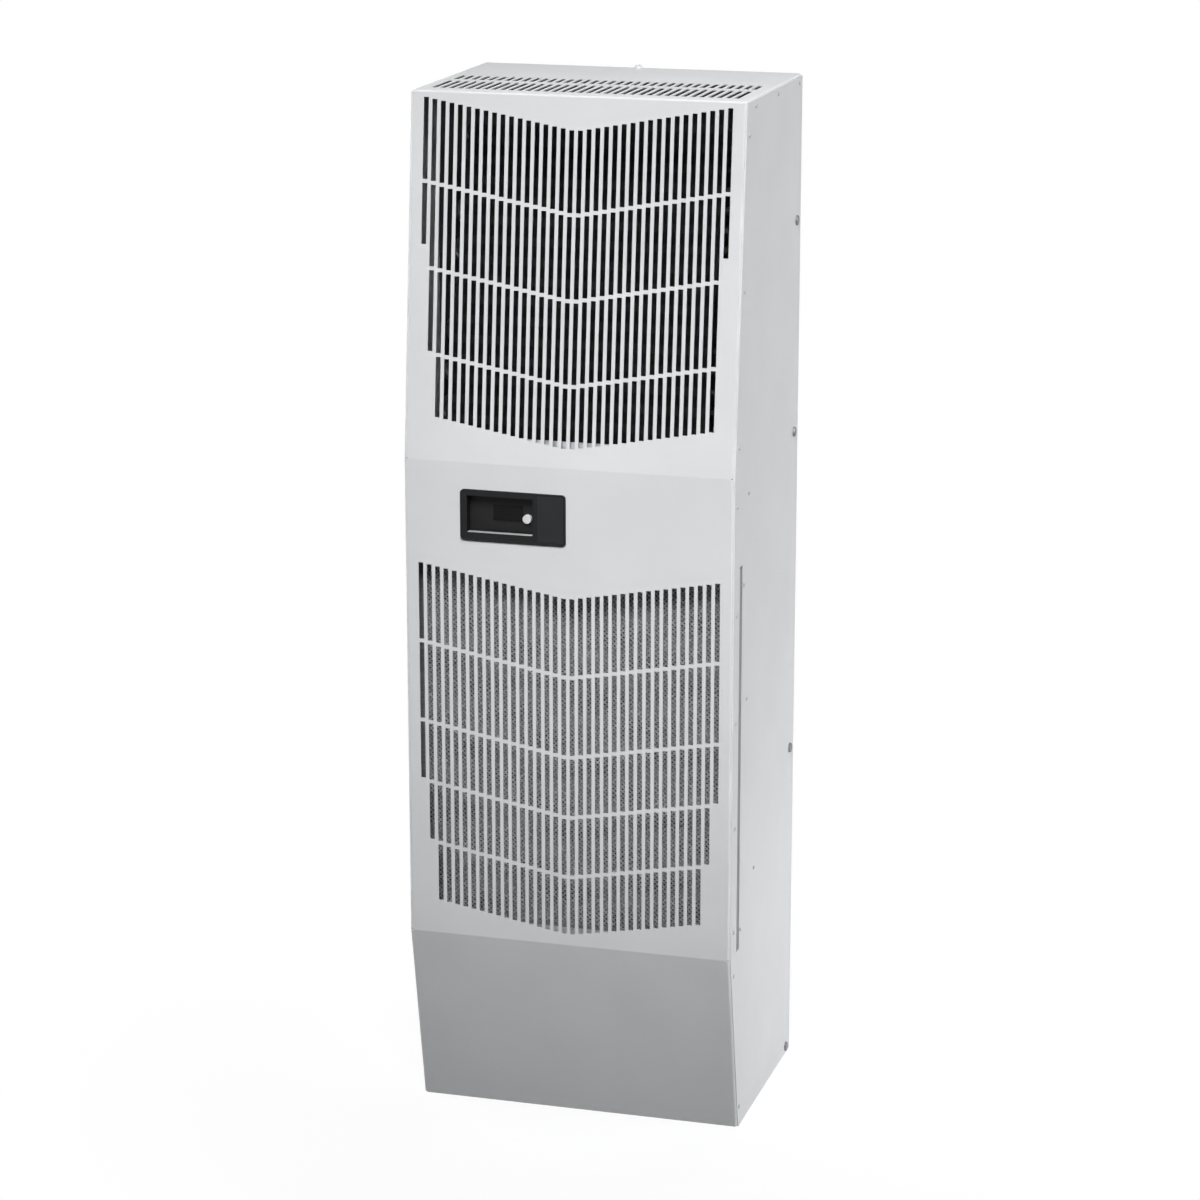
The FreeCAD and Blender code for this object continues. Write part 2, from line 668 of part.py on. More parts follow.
def fan_deck():
    body = new_body("fan_deck")
    section = new_sketch(body, "YZ_Plane")
    front, back = depth(s.deck_front), depth(s.partition_depth + s.sheet)
    top = s.deck_z + s.sheet
    add_polygon(section, [
        (front, s.deck_z), (back, s.deck_z), (back, top), (front + s.sheet, top),
        (front + s.sheet, s.deck_z + s.deck_lip), (front, s.deck_z + s.deck_lip)])
    pad(body, section, flange_half * 2, both_ways=True)
    holes = new_sketch(body, "XY_Plane", s.deck_z)
    axis = depth(s.blower_depth)
    inside = s.scroll_width / 2 - s.scroll_sheet
    rear_wall = axis + s.scroll_start + s.scroll_step * 3 - s.scroll_sheet
    add_rectangle(holes, -inside, inside, axis + s.scroll_sheet, rear_wall)
    gas = condenser_port(last_tube("condenser"))
    add_circle(holes, s.riser_x, gas.y, s.discharge_radius + s.pipe_hole_gap)
    add_circle(holes, s.liquid_x, depth(s.liquid_depth), s.liquid_radius + s.pipe_hole_gap)
    pocket(body, holes, both_ways=True)


# Air filter and its guides.
def filter_guide(label, low, side):
    """A channel that holds one edge of the filter; side is 1 when it opens upward."""
    body = new_body(label)
    section = new_sketch(body, "YZ_Plane")
    half = s.filter_thickness / 2 + s.slide_gap
    outer = half + s.guide_sheet
    middle = depth(s.filter_depth)
    floor, tip = low - s.guide_sheet * side, low + (s.guide_leg - s.guide_sheet) * side
    add_polygon(section, [
        (middle - outer, floor), (middle + outer, floor), (middle + outer, tip), (middle + half, tip),
        (middle + half, low), (middle - half, low), (middle - half, tip), (middle - outer, tip)])
    pad(body, section, inner_half * 2, both_ways=True)


def filter_frame():
    body = new_body("filter_frame")
    face = depth(s.filter_depth) + s.filter_thickness / 2
    frame = new_sketch(body, "XZ_Plane", -face)
    half, border = s.filter_width / 2, s.filter_border
    low, high = s.filter_low_z, s.filter_low_z + s.filter_height
    add_rectangle(frame, -half, half, low, high)
    add_rectangle(frame, border - half, half - border, low + border, high - border)
    pad(body, frame, s.filter_thickness)


def filter_mesh():
    half, border = s.filter_width / 2, s.filter_border
    middle = depth(s.filter_depth)
    low, high = s.filter_low_z + border, s.filter_low_z + s.filter_height - border
    block("filter_mesh", border - half, half - border, middle - s.mesh_thickness / 2,
          middle + s.mesh_thickness / 2, low, high)


# Controller in the middle facet.
def sleeve_box(extra=0):
    """Left, right, low and high edge of the bezel sleeve that passes the cover."""
    border = s.sleeve_border - extra
    left = s.bezel_left + border
    right = s.bezel_left + s.bezel_width - border
    return left, right, s.bezel_low_z + border, s.bezel_low_z + s.bezel_height - border


def controller_bezel():
    body = new_body("controller_bezel")
    face = depth(s.cabinet_depth)
    plate = new_sketch(body, "XZ_Plane", -face)
    right, high = s.bezel_left + s.bezel_width, s.bezel_low_z + s.bezel_height
    add_rectangle(plate, s.bezel_left, right, s.bezel_low_z, high)
    front = pad(body, plate, s.bezel_proud)
    fillet(body, front, is_along_y, s.bezel_radius)
    sleeve = new_sketch(body, "XZ_Plane", -face)
    add_rectangle(sleeve, *sleeve_box())
    pad(body, sleeve, s.sleeve_depth, backwards=True)
    front_y = face - s.bezel_proud
    recess = new_sketch(body, "XZ_Plane", -front_y)
    recess_right, recess_high = s.recess_left + s.recess_width, s.recess_low_z + s.recess_height
    add_rectangle(recess, s.recess_left, recess_right, s.recess_low_z, recess_high)
    pocket(body, recess, s.recess_depth)
    badge = new_sketch(body, "XZ_Plane", -front_y)
    add_rectangle(badge, *plate_box(s.touch_gap))
    pocket(body, badge, s.plate_thickness)
    hole = new_sketch(body, "XZ_Plane", -front_y)
    add_circle(hole, s.button_x, s.button_z, s.button_radius + s.slide_gap)
    pocket(body, hole)


def is_along_y(edge):
    points = [vertex.Point for vertex in edge.Vertexes]
    return abs(points[0].x - points[1].x) < 0.001 and abs(points[0].z - points[1].z) < 0.001


def plate_box(extra=0):
    """Left, right, low and high edge of the bare plate at the right of the bezel."""
    low = s.bezel_low_z + s.plate_margin
    high = s.bezel_low_z + s.bezel_height - s.plate_margin
    return s.plate_left - extra, s.plate_left + s.plate_width + extra, low - extra, high + extra


def recess_floor():
    return depth(s.cabinet_depth + s.bezel_proud - s.recess_depth)


def bezel_plate():
    front = depth(s.cabinet_depth + s.bezel_proud)
    left, right, low, high = plate_box()
    block("bezel_plate", left, right, front, front + s.plate_thickness, low, high)


def display_window():
    floor = recess_floor()
    right, high = s.display_left + s.display_width, s.display_low_z + s.display_height
    block("display_window", s.display_left, right, floor - s.display_thickness, floor, s.display_low_z, high)


def push_button():
    body = new_body("push_button")
    face = new_sketch(body, "XZ_Plane", s.button_proud - recess_floor())
    add_circle(face, s.button_x, s.button_z, s.button_radius)
    solid = pad(body, face, s.button_length, backwards=True)
    fillet(body, solid, lambda edge: edge.CenterOfMass.y < solid.Shape.CenterOfMass.y - 1
           and len(edge.Vertexes) == 1, as_size(0.8))


def controller_case():
    left, right, low, high = sleeve_box()
    border = s.case_border
    front = depth(s.cabinet_depth - s.sleeve_depth)
    block("controller_case", left + border, right - border, front, front + s.case_depth,
          low + border / 3, high - border / 3)


# Condenser blower below the deck.
def scroll_face(shrink, overrun):
    """Spiral side view of the scroll, from quarter arcs whose centres step round a small square."""
    first, step = s.scroll_start.number, s.scroll_step.number
    rise = s.deck_z.number - s.blower_z.number + overrun
    arcs = []
    spans = [((0, 0), first, 90), ((step, 0), first + step, 0), ((step, step), first + 2 * step, 270)]
    for (back, up), radius, start in spans:
        arcs.append(quarter(back, up, radius - shrink, start))
    wall = step + first + 2 * step - shrink
    corners = [(wall, step), (wall, rise), (shrink, rise), (shrink, first - shrink), (0, first - shrink)]
    lines = []
    for start, end in zip(corners, corners[1:]):
        if start != end:
            lines.append(Part.makeLine(FreeCAD.Vector(0, *start), FreeCAD.Vector(0, *end)))
    return Part.Face(Part.Wire(arcs + lines))


def quarter(back, up, radius, start):
    """A quarter arc that runs from the top by the front to the bottom and the rear."""
    points = []
    for turn in (start, start - 45, start - 90):
        angle = math.radians(turn)
        points.append(FreeCAD.Vector(0, back - radius * math.cos(angle), up + radius * math.sin(angle)))
    return Part.Arc(*points).toShape()


def blower_scroll():
    width, wall = s.scroll_width.number, s.scroll_sheet.number
    outer = scroll_face(0, 0).extrude(FreeCAD.Vector(width, 0, 0))
    inner = scroll_face(wall, 20).extrude(FreeCAD.Vector(width - 2 * wall, 0, 0))
    inner.translate(FreeCAD.Vector(wall, 0, 0))
    along = FreeCAD.Vector(1, 0, 0)
    inlet = Part.makeCylinder(s.inlet_radius.number, width + 20, along * -10, along)
    scroll = doc.addObject("Part::Feature", "blower_scroll")
    scroll.Shape = outer.cut(inner).cut(inlet)
    scroll.Label = "blower_scroll"
    place(scroll, -s.scroll_width / 2, depth(s.blower_depth), s.blower_z)
    pieces.append(scroll)


def blade_points(inner, outer, thickness, lean, curl):
    """A thin curved blade from an inner to an outer radius as a polygon of flat facets."""
    sides = ([], [])
    for part in (0, 0.35, 0.7, 1):
        radius = inner + (outer - inner) * part
        angle = math.radians(lean * part + curl * part * (1 - part))
        cos_turn, sin_turn = math.cos(angle), math.sin(angle)
        for side, line in zip((-0.5, 0.5), sides):
            offset = thickness * side
            line.append((radius * cos_turn - offset * sin_turn, radius * sin_turn + offset * cos_turn))
    return sides[0] + sides[1][::-1]


def blower_wheel():
    body = new_body("blower_wheel")
    disc = new_sketch(body, "YZ_Plane")
    add_circle(disc, 0, 0, s.wheel_inner + s.blade_thickness * 2)
    pad(body, disc, s.wheel_disc, both_ways=True)
    hub = new_sketch(body, "YZ_Plane")
    add_circle(hub, 0, 0, s.hub_radius)
    pad(body, hub, s.hub_length, both_ways=True)
    blade = new_sketch(body, "YZ_Plane")
    add_polygon(blade, blade_points(s.wheel_inner, s.wheel_radius - 0.5, s.blade_thickness, lean=9, curl=7))
    first = pad(body, blade, s.wheel_width - s.wheel_ring, both_ways=True)
    polar(body, [first], "X_Axis", s.wheel_blades)
    ring = new_sketch(body, "YZ_Plane", s.wheel_width / 2 - s.wheel_ring)
    add_circle(ring, 0, 0, s.wheel_radius)
    add_circle(ring, 0, 0, s.wheel_radius - s.wheel_ring_wall)
    right = pad(body, ring, s.wheel_ring)
    mirror(body, [right])
    bore = new_sketch(body, "YZ_Plane")
    add_circle(bore, 0, 0, s.shaft_radius + s.touch_gap)
    pocket(body, bore, both_ways=True)
    place(body, 0, depth(s.blower_depth), s.blower_z)


def blower_shaft():
    body = new_body("blower_shaft")
    section = new_sketch(body, "YZ_Plane", s.shaft_left)
    add_circle(section, 0, 0, s.shaft_radius)
    pad(body, section, s.shaft_right - s.shaft_left)
    place(body, 0, depth(s.blower_depth), s.blower_z)


def blower_motor():
    body = new_body("blower_motor")
    left, right, edge = s.motor_left, s.motor_right, s.motor_edge
    bore, boss, radius = s.shaft_radius + s.bearing_gap, s.motor_boss_radius, s.motor_radius
    stop = s.shaft_left - s.slide_gap
    revolve(body, "XY_Plane", "X_Axis", [
        (left, 0), (left, radius - edge), (left + edge, radius), (right - edge, radius),
        (right, radius - edge), (right, boss), (right + s.motor_boss, boss), (right + s.motor_boss, bore),
        (stop, bore), (stop, 0)])
    place(body, 0, depth(s.blower_depth), s.blower_z)


def motor_bracket():
    body = new_body("motor_bracket")
    clamp_left = (s.motor_left + s.motor_right) / 2 - s.clamp_width / 2
    inner = s.motor_radius + s.touch_gap
    ring = new_sketch(body, "YZ_Plane", clamp_left)
    add_circle(ring, 0, 0, inner + s.clamp_thickness)
    add_circle(ring, 0, 0, inner)
    pad(body, ring, s.clamp_width)
    end, thick = -s.scroll_width / 2, s.arm_thickness
    foot, low = s.arm_radius, inner + s.clamp_thickness / 2
    arm = new_sketch(body, "XY_Plane")
    add_polygon(arm, [
        (clamp_left, low), (clamp_left + thick, low), (clamp_left + thick, foot - thick),
        (end, foot - thick), (end, foot), (clamp_left, foot)])
    first = pad(body, arm, s.arm_width, both_ways=True)
    polar(body, [first], "X_Axis", 3)
    place(body, 0, depth(s.blower_depth), s.blower_z)


# Coils: fin pack, end plates and return bends in the frame of the coil.
def tube_count(coil):
    """An even count of tubes that fills the length of the coil."""
    room = getattr(s, coil + "_length") - getattr(s, coil + "_first_tube") * 2
    return 2 * int(room.number / s.tube_pitch.number / 2 + 0.6)


COILS = ("condenser", "evaporator")


class Port:
    """Where a tube leaves the right end plate of a coil."""

    def __init__(self, y, z):
        self.y = y
        self.z = z


def last_tube(coil):
    return getattr(s, coil + "_first_tube") + s.tube_pitch * (tube_count(coil) - 1)


def condenser_base():
    """Y and Z of the lower front edge; the coil leans back and its lower rear edge rests on the deck."""
    return depth(s.condenser_front), coil_foot


def condenser_port(along):
    base_y, base_z = condenser_base()
    back = s.condenser_thickness / 2
    lean, upright = sine(s.condenser_tilt), cosine(s.condenser_tilt)
    return Port(base_y + back * upright + along * lean, base_z - back * lean + along * upright)


def evaporator_base():
    """Y and Z of the lower rear edge; the coil leans forward until it rests on the foam."""
    lean, upright = sine(s.evaporator_tilt), cosine(s.evaporator_tilt)
    foam_face = s.partition_depth - s.foam - s.touch_gap
    reach = foam_face - s.evaporator_length * lean - s.evaporator_thickness * upright
    return depth(reach), s.pan_z + s.pan_wall + s.touch_gap + s.evaporator_thickness * lean


def evaporator_port(along):
    base_y, base_z = evaporator_base()
    front = s.evaporator_thickness / 2
    lean, upright = sine(s.evaporator_tilt), cosine(s.evaporator_tilt)
    return Port(base_y - front * upright - along * lean, base_z - front * lean + along * upright)


def place_coil(thing, coil):
    base_y, base_z = condenser_base() if coil == "condenser" else evaporator_base()
    tilt = -s.condenser_tilt if coil == "condenser" else s.evaporator_tilt
    turn = FreeCAD.Rotation(FreeCAD.Vector(1, 0, 0), tilt.number)
    thing.Placement = FreeCAD.Placement(FreeCAD.Vector(), turn)
    bind(thing, "Placement.Rotation.Angle", tilt)
    place(thing, 0, base_y, base_z)


def coil_sides(coil):
    """Front and rear Y of a coil in its own frame."""
    thickness = getattr(s, coil + "_thickness")
    return (as_size(0), thickness) if coil == "condenser" else (-thickness, as_size(0))


def coil_fins(coil):
    body = new_body(coil + "_fins")
    front, back = coil_sides(coil)
    face = new_sketch(body, "YZ_Plane")
    add_rectangle(face, front, back, 0, getattr(s, coil + "_length"))
    pad(body, face, s.coil_half * 2, both_ways=True)
    place_coil(body, coil)


def coil_end_plates(coil):
    body = new_body(coil + "_end_plates")
    front, back = coil_sides(coil)
    face = new_sketch(body, "YZ_Plane", s.coil_half)
    add_rectangle(face, front, back, 0, getattr(s, coil + "_length"))
    right = pad(body, face, s.end_plate)
    mirror(body, [right])
    place_coil(body, coil)


def bend_row(body, coil, side, first, count):
    """A row of return bends on one end plate, each joining two neighbouring tubes."""
    front, back = coil_sides(coil)
    middle = (front + back) / 2
    face = new_sketch(body, "YZ_Plane", (s.coil_half + s.end_plate) * side)
    add_circle(face, middle, first + s.tube_pitch, s.bend_tube)
    between, end = first + s.tube_pitch / 2, middle + s.tube_pitch
    line = Part.LineSegment(vector_of((middle, between, 0)), vector_of((end, between, 0)))
    axis = face.addGeometry(line, True)
    pin_point(face, axis, 1, middle, between)
    pin_point(face, axis, 2, end, between)
    bend = body.newObject("PartDesign::Revolution", "bend")
    bend.Profile = face
    bend.ReferenceAxis = (face, ["Axis0"])
    bend.Angle = 180
    bend.Reversed = side < 0
    step = linear_step(body, (origin_of(body, "Z_Axis"), [""]), count, s.tube_pitch * 2 * (count - 1))
    step.Originals = [bend]
    body.Tip = step


def coil_bends(coil):
    body = new_body(coil + "_return_bends")
    first = getattr(s, coil + "_first_tube")
    count = tube_count(coil) // 2
    bend_row(body, coil, -1, first, count)
    bend_row(body, coil, 1, first + s.tube_pitch, count - 1)
    place_coil(body, coil)


# Condensate pan and drain.
def condensate_pan():
    body = new_body("condensate_pan")
    half, wall = s.pan_width / 2, s.pan_wall
    front, back = depth(s.pan_depth), depth(s.sheet)
    outer = new_sketch(body, "XY_Plane", s.pan_z)
    add_rectangle(outer, -half, half, front, back)
    pad(body, outer, s.pan_height)
    inside = new_sketch(body, "XY_Plane", s.pan_z + s.pan_height)
    add_rectangle(inside, wall - half, half - wall, front + wall, back - wall)
    pocket(body, inside, s.pan_height - wall)
    hole = new_sketch(body, "XY_Plane", s.pan_z)
    add_circle(hole, s.drain_x, depth(s.drain_depth), s.drain_bore)
    pocket(body, hole, both_ways=True)


def drain_tube():
    place_at = (s.drain_x, depth(s.drain_depth))
    outer = rod(None, *place_at, as_size(0), s.pan_z, s.drain_radius)
    inner = rod(None, *place_at, as_size(-1), s.pan_z + 1, s.drain_bore)
    cut("drain_tube", outer, [inner])


# Evaporator fan behind the return opening.
def evaporator_impeller():
    body = new_body("evaporator_impeller")
    radius, plate = s.fan_radius, s.fan_plate
    back, shroud = -s.fan_back_depth, -s.fan_shroud_depth
    hub, shaft = s.fan_hub_radius, s.shaft_radius
    end = -s.partition_depth + s.stator_flange / 2
    revolve(body, "XY_Plane", "Y_Axis", [
        (0, -s.fan_hub_depth), (hub - 6, -s.fan_hub_depth), (hub, -s.fan_hub_depth - 6), (hub, back),
        (radius, back), (radius, back - plate), (shaft, back - plate), (shaft, end), (0, end)])
    blade = new_sketch(body, "XZ_Plane", -back)
    add_polygon(blade, blade_points(
        s.fan_blade_inner, s.fan_blade_outer, s.fan_blade_thickness, lean=62, curl=20))
    first = pad(body, blade, s.fan_back_depth - s.fan_shroud_depth, backwards=True)
    polar(body, [first], "Y_Axis", s.fan_blades)
    inlet = s.fan_inlet
    revolve(body, "XY_Plane", "Y_Axis", [
        (inlet, -s.fan_collar_depth), (inlet + plate, -s.fan_collar_depth), (inlet + plate, shroud),
        (radius, shroud), (radius, shroud - plate), (inlet, shroud - plate)])
    place(body, 0, rear_y, s.return_z)


def evaporator_motor():
    body = new_body("evaporator_motor")
    bore = s.shaft_radius + s.bearing_gap
    back = -s.partition_depth
    flange, boss = back + s.stator_flange, back + s.stator_flange + s.stator_boss
    stop = back + s.stator_flange / 2 - s.slide_gap
    revolve(body, "XY_Plane", "Y_Axis", [
        (0, back), (s.stator_flange_radius, back), (s.stator_flange_radius, flange),
        (s.stator_boss_radius, flange), (s.stator_boss_radius, boss), (bore, boss), (bore, stop),
        (0, stop)])
    place(body, 0, rear_y, s.return_z)


def evaporator_inlet_ring():
    body = new_body("evaporator_inlet_ring")
    throat, plate, lip = s.ring_throat, s.fan_plate, s.ring_flange
    mouth, face = s.return_radius, -s.sheet
    flare, drop = mouth - throat, s.ring_depth - s.sheet
    revolve(body, "XY_Plane", "Y_Axis", [
        (mouth - plate, face), (lip, face), (lip, face - plate), (mouth, face - plate),
        (throat + flare * 0.4, face - drop * 0.34), (throat + plate, face - drop * 0.64),
        (throat + plate, face - drop), (throat, face - drop), (throat, face - drop * 0.6),
        (throat + flare * 0.24, face - drop * 0.3)])
    place(body, 0, rear_y, s.return_z)


def return_guard():
    body = new_body("return_guard")
    bar = s.guard_bar
    face = new_sketch(body, "XZ_Plane")
    add_rectangle(face, -bar, bar, -s.guard_reach, s.guard_reach)
    pad(body, face, bar, backwards=True)
    cross = new_sketch(body, "XZ_Plane")
    add_rectangle(cross, -s.guard_reach, s.guard_reach, -bar, bar)
    pad(body, cross, bar, backwards=True)
    for count in range(3):
        radius = s.return_radius - s.guard_step * (count + 0.25)
        ring = new_sketch(body, "XZ_Plane")
        add_circle(ring, 0, 0, radius + bar / 2)
        add_circle(ring, 0, 0, radius - bar / 2)
        pad(body, ring, bar, backwards=True)
    place(body, 0, rear_y, s.return_z)


# Compressor group on the base pan.
def foot_points():
    """Three mounting points round the compressor, one of them at the rear."""
    points = []
    for turn in (90, 210, 330):
        angle = math.radians(turn)
        across = s.compressor_x + s.foot_reach * math.cos(angle)
        back = depth(s.compressor_depth) + s.foot_reach * math.sin(angle)
        points.append((across, back))
    return points


def foot_top():
    return s.floor + s.grommet_height + s.foot_thickness


def compressor_foot():
    body = new_body("compressor_foot")
    plate = new_sketch(body, "XY_Plane", s.floor + s.grommet_height)
    outline = []
    for turn in (90, 210, 330):
        for half_angle in (-13, 13):
            angle = math.radians(turn + half_angle)
            reach = s.foot_reach + s.foot_corner
            outline.append((s.compressor_x + reach * math.cos(angle),
                            depth(s.compressor_depth) + reach * math.sin(angle)))
    add_polygon(plate, outline)
    solid = pad(body, plate, s.foot_thickness)
    fillet(body, solid, lambda edge: abs(edge.Vertexes[0].Z - edge.Vertexes[1].Z) > 1, s.foot_corner / 2)
    holes = new_sketch(body, "XY_Plane", s.floor)
    for across, back in foot_points():
        add_circle(holes, across, back, s.stud_radius + s.touch_gap)
    pocket(body, holes, both_ways=True)


def compressor_grommets():
    body = new_body("compressor_grommets")
    rings = new_sketch(body, "XY_Plane", s.floor)
    for across, back in foot_points():
        add_circle(rings, across, back, s.grommet_radius)
        add_circle(rings, across, back, s.stud_radius + s.touch_gap)
    pad(body, rings, s.grommet_height)


def compressor_studs():
    body = new_body("compressor_studs")
    shanks = new_sketch(body, "XY_Plane", s.floor)
    nuts = new_sketch(body, "XY_Plane", foot_top())
    for across, back in foot_points():
        add_circle(shanks, across, back, s.stud_radius)
        corners = []
        for turn in range(0, 360, 60):
            angle = math.radians(turn)
            corners.append((across + s.nut_radius * math.cos(angle), back + s.nut_radius * math.sin(angle)))
        add_polygon(nuts, corners)
    pad(body, shanks, s.grommet_height + s.foot_thickness + s.nut_height + 3)
    pad(body, nuts, s.nut_height)


def compressor_shell():
    body = new_body("compressor_shell")
    base = new_sketch(body, "XY_Plane", foot_top())
    add_circle(base, s.compressor_x, depth(s.compressor_depth), s.compressor_radius)
    solid = pad(body, base, s.compressor_height)
    fillet(body, solid, lambda edge: len(edge.Vertexes) == 1, s.compressor_dome)


def compressor_top():
    return foot_top() + s.compressor_height


def terminal_cover():
    left = s.compressor_x - s.terminal_shift
    middle = depth(s.compressor_depth)
    low = compressor_top()
    block("terminal_cover", left, left + s.terminal_width, middle - s.terminal_depth / 2,
          middle + s.terminal_depth / 2, low, low + s.terminal_height)


def smooth_path(points, bend):
    """A wire through points with rounded corners."""
    corners = [vector_of(point) for point in points]
    edges = []
    start = corners[0]
    for before, corner, after in zip(corners, corners[1:], corners[2:]):
        back, ahead = (before - corner).normalize(), (after - corner).normalize()
        first, last = corner + back * bend, corner + ahead * bend
        middle = corner + (back + ahead) * (bend * (1 - math.sqrt(0.5)))
        edges.append(Part.makeLine(start, first))
        edges.append(Part.Arc(first, middle, last).toShape())
        start = last
    edges.append(Part.makeLine(start, corners[-1]))
    return Part.Wire(edges)


def pipe_shape(points, radius, bend=None):
    path = smooth_path(points, s.pipe_bend.number if bend is None else bend)
    start, ahead = vector_of(points[0]), vector_of(points[1])
    ring = Part.Wire(Part.makeCircle(radius.number, start, ahead - start))
    return path.makePipeShell([ring], True, True)


def shaped(label, shape):
    thing = doc.addObject("Part::Feature", label)
    thing.Shape = shape
    thing.Label = label
    pieces.append(thing)
    return thing


def accumulator():
    across, back = s.accumulator_x.number, depth(s.compressor_depth).number
    low, tall, radius = s.accumulator_low_z.number, s.accumulator_height.number, s.accumulator_radius.number
    vessel = Part.makeCylinder(radius, tall, FreeCAD.Vector(across, back, low))
    vessel = vessel.makeFillet(radius * 0.5, [edge for edge in vessel.Edges if len(edge.Vertexes) == 1])
    shell = (s.compressor_x + s.compressor_radius + s.touch_gap).number
    elbow = pipe_shape(
        [(across, back, low + 5), (across, back, s.elbow_z), (shell, back, s.elbow_z)], s.elbow_radius)
    strap = Part.makeBox(across - radius + 6 - shell, s.strap_width.number, s.strap_height.number,
                         FreeCAD.Vector(shell, back - s.strap_width.number / 2, s.strap_z.number))
    shaped("accumulator", vessel.fuse([elbow, strap]).removeSplitter())


# Refrigerant lines.
def end_plate_face():
    return s.coil_half + s.end_plate


def discharge_line():
    gas = condenser_port(last_tube("condenser"))
    start, back, wall = s.compressor_x + s.discharge_shift, depth(s.compressor_depth), s.riser_x
    shaped("discharge_line", pipe_shape([
        (start, back, compressor_top()), (start, back, s.discharge_z), (wall, gas.y, s.discharge_z),
        (wall, gas.y, gas.z), (end_plate_face(), gas.y, gas.z)], s.discharge_radius))


def liquid_line():
    out = condenser_port(s.condenser_first_tube)
    across, back = s.liquid_x, depth(s.liquid_depth)
    shaped("liquid_line", pipe_shape([
        (end_plate_face(), out.y, out.z), (across, out.y, out.z), (across, back, out.z),
        (across, back, s.drier_low_z + s.drier_height)], s.liquid_radius))


def filter_drier():
    body = new_body("filter_drier")
    radius, tall, taper = s.drier_radius, s.drier_height, s.drier_taper
    neck = s.liquid_radius + 1
    revolve(body, "XZ_Plane", "Z_Axis", [
        (0, 0), (neck, 0), (radius, taper), (radius, tall - taper), (neck, tall), (0, tall)])
    place(body, s.liquid_x, depth(s.liquid_depth), s.drier_low_z)


def drier_line():
    across, back = s.liquid_x, depth(s.valve_depth)
    low = s.liquid_cross_z
    shaped("drier_line", pipe_shape([
        (across, depth(s.liquid_depth), s.drier_low_z), (across, depth(s.liquid_depth), low),
        (across, back, low), (across, back, s.valve_low_z + s.valve_height)], s.liquid_radius))


def expansion_valve():
    feed = evaporator_port(s.evaporator_first_tube)
    across, back = s.liquid_x, depth(s.valve_depth)
    low, tall, radius = s.valve_low_z, s.valve_height.number, s.valve_radius.number
    spot = vector_of((across, back, low))
    corner = [spot + FreeCAD.Vector(radius * math.cos(turn), radius * math.sin(turn), 0)
              for turn in [math.radians(60 * i) for i in range(7)]]
    stem = Part.Face(Part.makePolygon(corner)).extrude(FreeCAD.Vector(0, 0, tall))
    feed_tube = pipe_shape([
        (across, back, low + 2), (across, back, feed.z), (across, feed.y, feed.z),
        (end_plate_face(), feed.y, feed.z)], s.liquid_radius)
    shaped("expansion_valve", stem.fuse(feed_tube))


def suction_line():
    out = evaporator_port(last_tube("evaporator"))
    wall, back, middle = s.riser_x, depth(s.suction_rear), depth(s.suction_depth)
    end = s.accumulator_low_z + s.accumulator_height
    across, front = s.accumulator_x, depth(s.compressor_depth)
    shaped("suction_line", pipe_shape([
        (end_plate_face(), out.y, out.z), (wall, out.y, out.z), (wall, back, out.z),
        (wall, back, s.suction_z), (wall, middle, s.suction_z), (across, middle, s.suction_z),
        (across, front, s.suction_z), (across, front, end)], s.suction_radius))


# Control box on the partition.
def control_box():
    back = depth(s.partition_depth + s.sheet)
    front = back - s.box_depth
    left, right = s.box_left, s.box_left + s.box_width
    low, high, wall = s.box_low_z, s.box_low_z + s.box_height, s.box_wall
    outer = block(None, left, right, front, back, low, high)
    inner = block(None, left + wall, right - wall, front - 1, back - wall, low + wall, high - wall)
    cut("control_box", outer, [inner])
    block("control_box_cover", left, right, front - wall, front, low, high)
    floor = back - wall
    start, rise = (left + right - s.block_width) / 2, low + s.block_rise
    block("terminal_block", start, start + s.block_width, floor - s.block_depth, floor,
          rise, rise + s.block_height)
    start, rise = left + s.contactor_shift, low + s.contactor_rise
    block("contactor", start, start + s.contactor_width, floor - s.contactor_depth, floor,
          rise, rise + s.contactor_height)
    rise = low + s.capacitor_rise
    rod("run_capacitor", right - s.capacitor_shift, floor - s.capacitor_radius - s.touch_gap, rise,
        rise + s.capacitor_height, s.capacitor_radius)


def build_all():
    front_cover()
    side_panel("left_side_panel", -1)
    side_panel("right_side_panel", 1)
    cover_bolts()
    top_plug()
    back_panel()
    mounting_inserts()
    mounting_gasket()
    power_entry()
    base_pan()
    partition()
    partition_foam()
    fan_deck()
    filter_guide("filter_guide_bottom", s.filter_low_z - s.slide_gap, 1)
    filter_guide("filter_guide_top", s.filter_low_z + s.filter_height + s.slide_gap, -1)
    filter_frame()
    filter_mesh()
    controller_bezel()
    bezel_plate()
    display_window()
    push_button()
    controller_case()
    blower_scroll()
    blower_wheel()
    blower_shaft()
    blower_motor()
    motor_bracket()
    for coil in COILS:
        coil_fins(coil)
        coil_end_plates(coil)
        coil_bends(coil)
    condensate_pan()
    drain_tube()
    evaporator_impeller()
    evaporator_motor()
    evaporator_inlet_ring()
    return_guard()
    compressor_foot()
    compressor_grommets()
    compressor_studs()
    compressor_shell()
    terminal_cover()
    accumulator()
    discharge_line()
    liquid_line()
    filter_drier()
    drier_line()
    expansion_valve()
    suction_line()
    control_box()


def export_all():
    doc.recompute()
    for thing in doc.Objects:
        if "Invalid" in thing.State or "Error" in thing.State:
            raise RuntimeError(f"{thing.Label} did not build: {thing.State}")
    for piece in pieces:
        if piece.Shape.isNull() or not piece.Shape.isValid() or not piece.Shape.Solids:
            raise RuntimeError(f"{piece.Label} has no valid solid")
        piece.Shape.exportStep(f"parts/{piece.Label}.step")


build_all()
export_all()
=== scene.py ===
"""Looks of the enclosure air conditioner: finishes, small fasteners, filter weave, coil fins and studio."""

import math

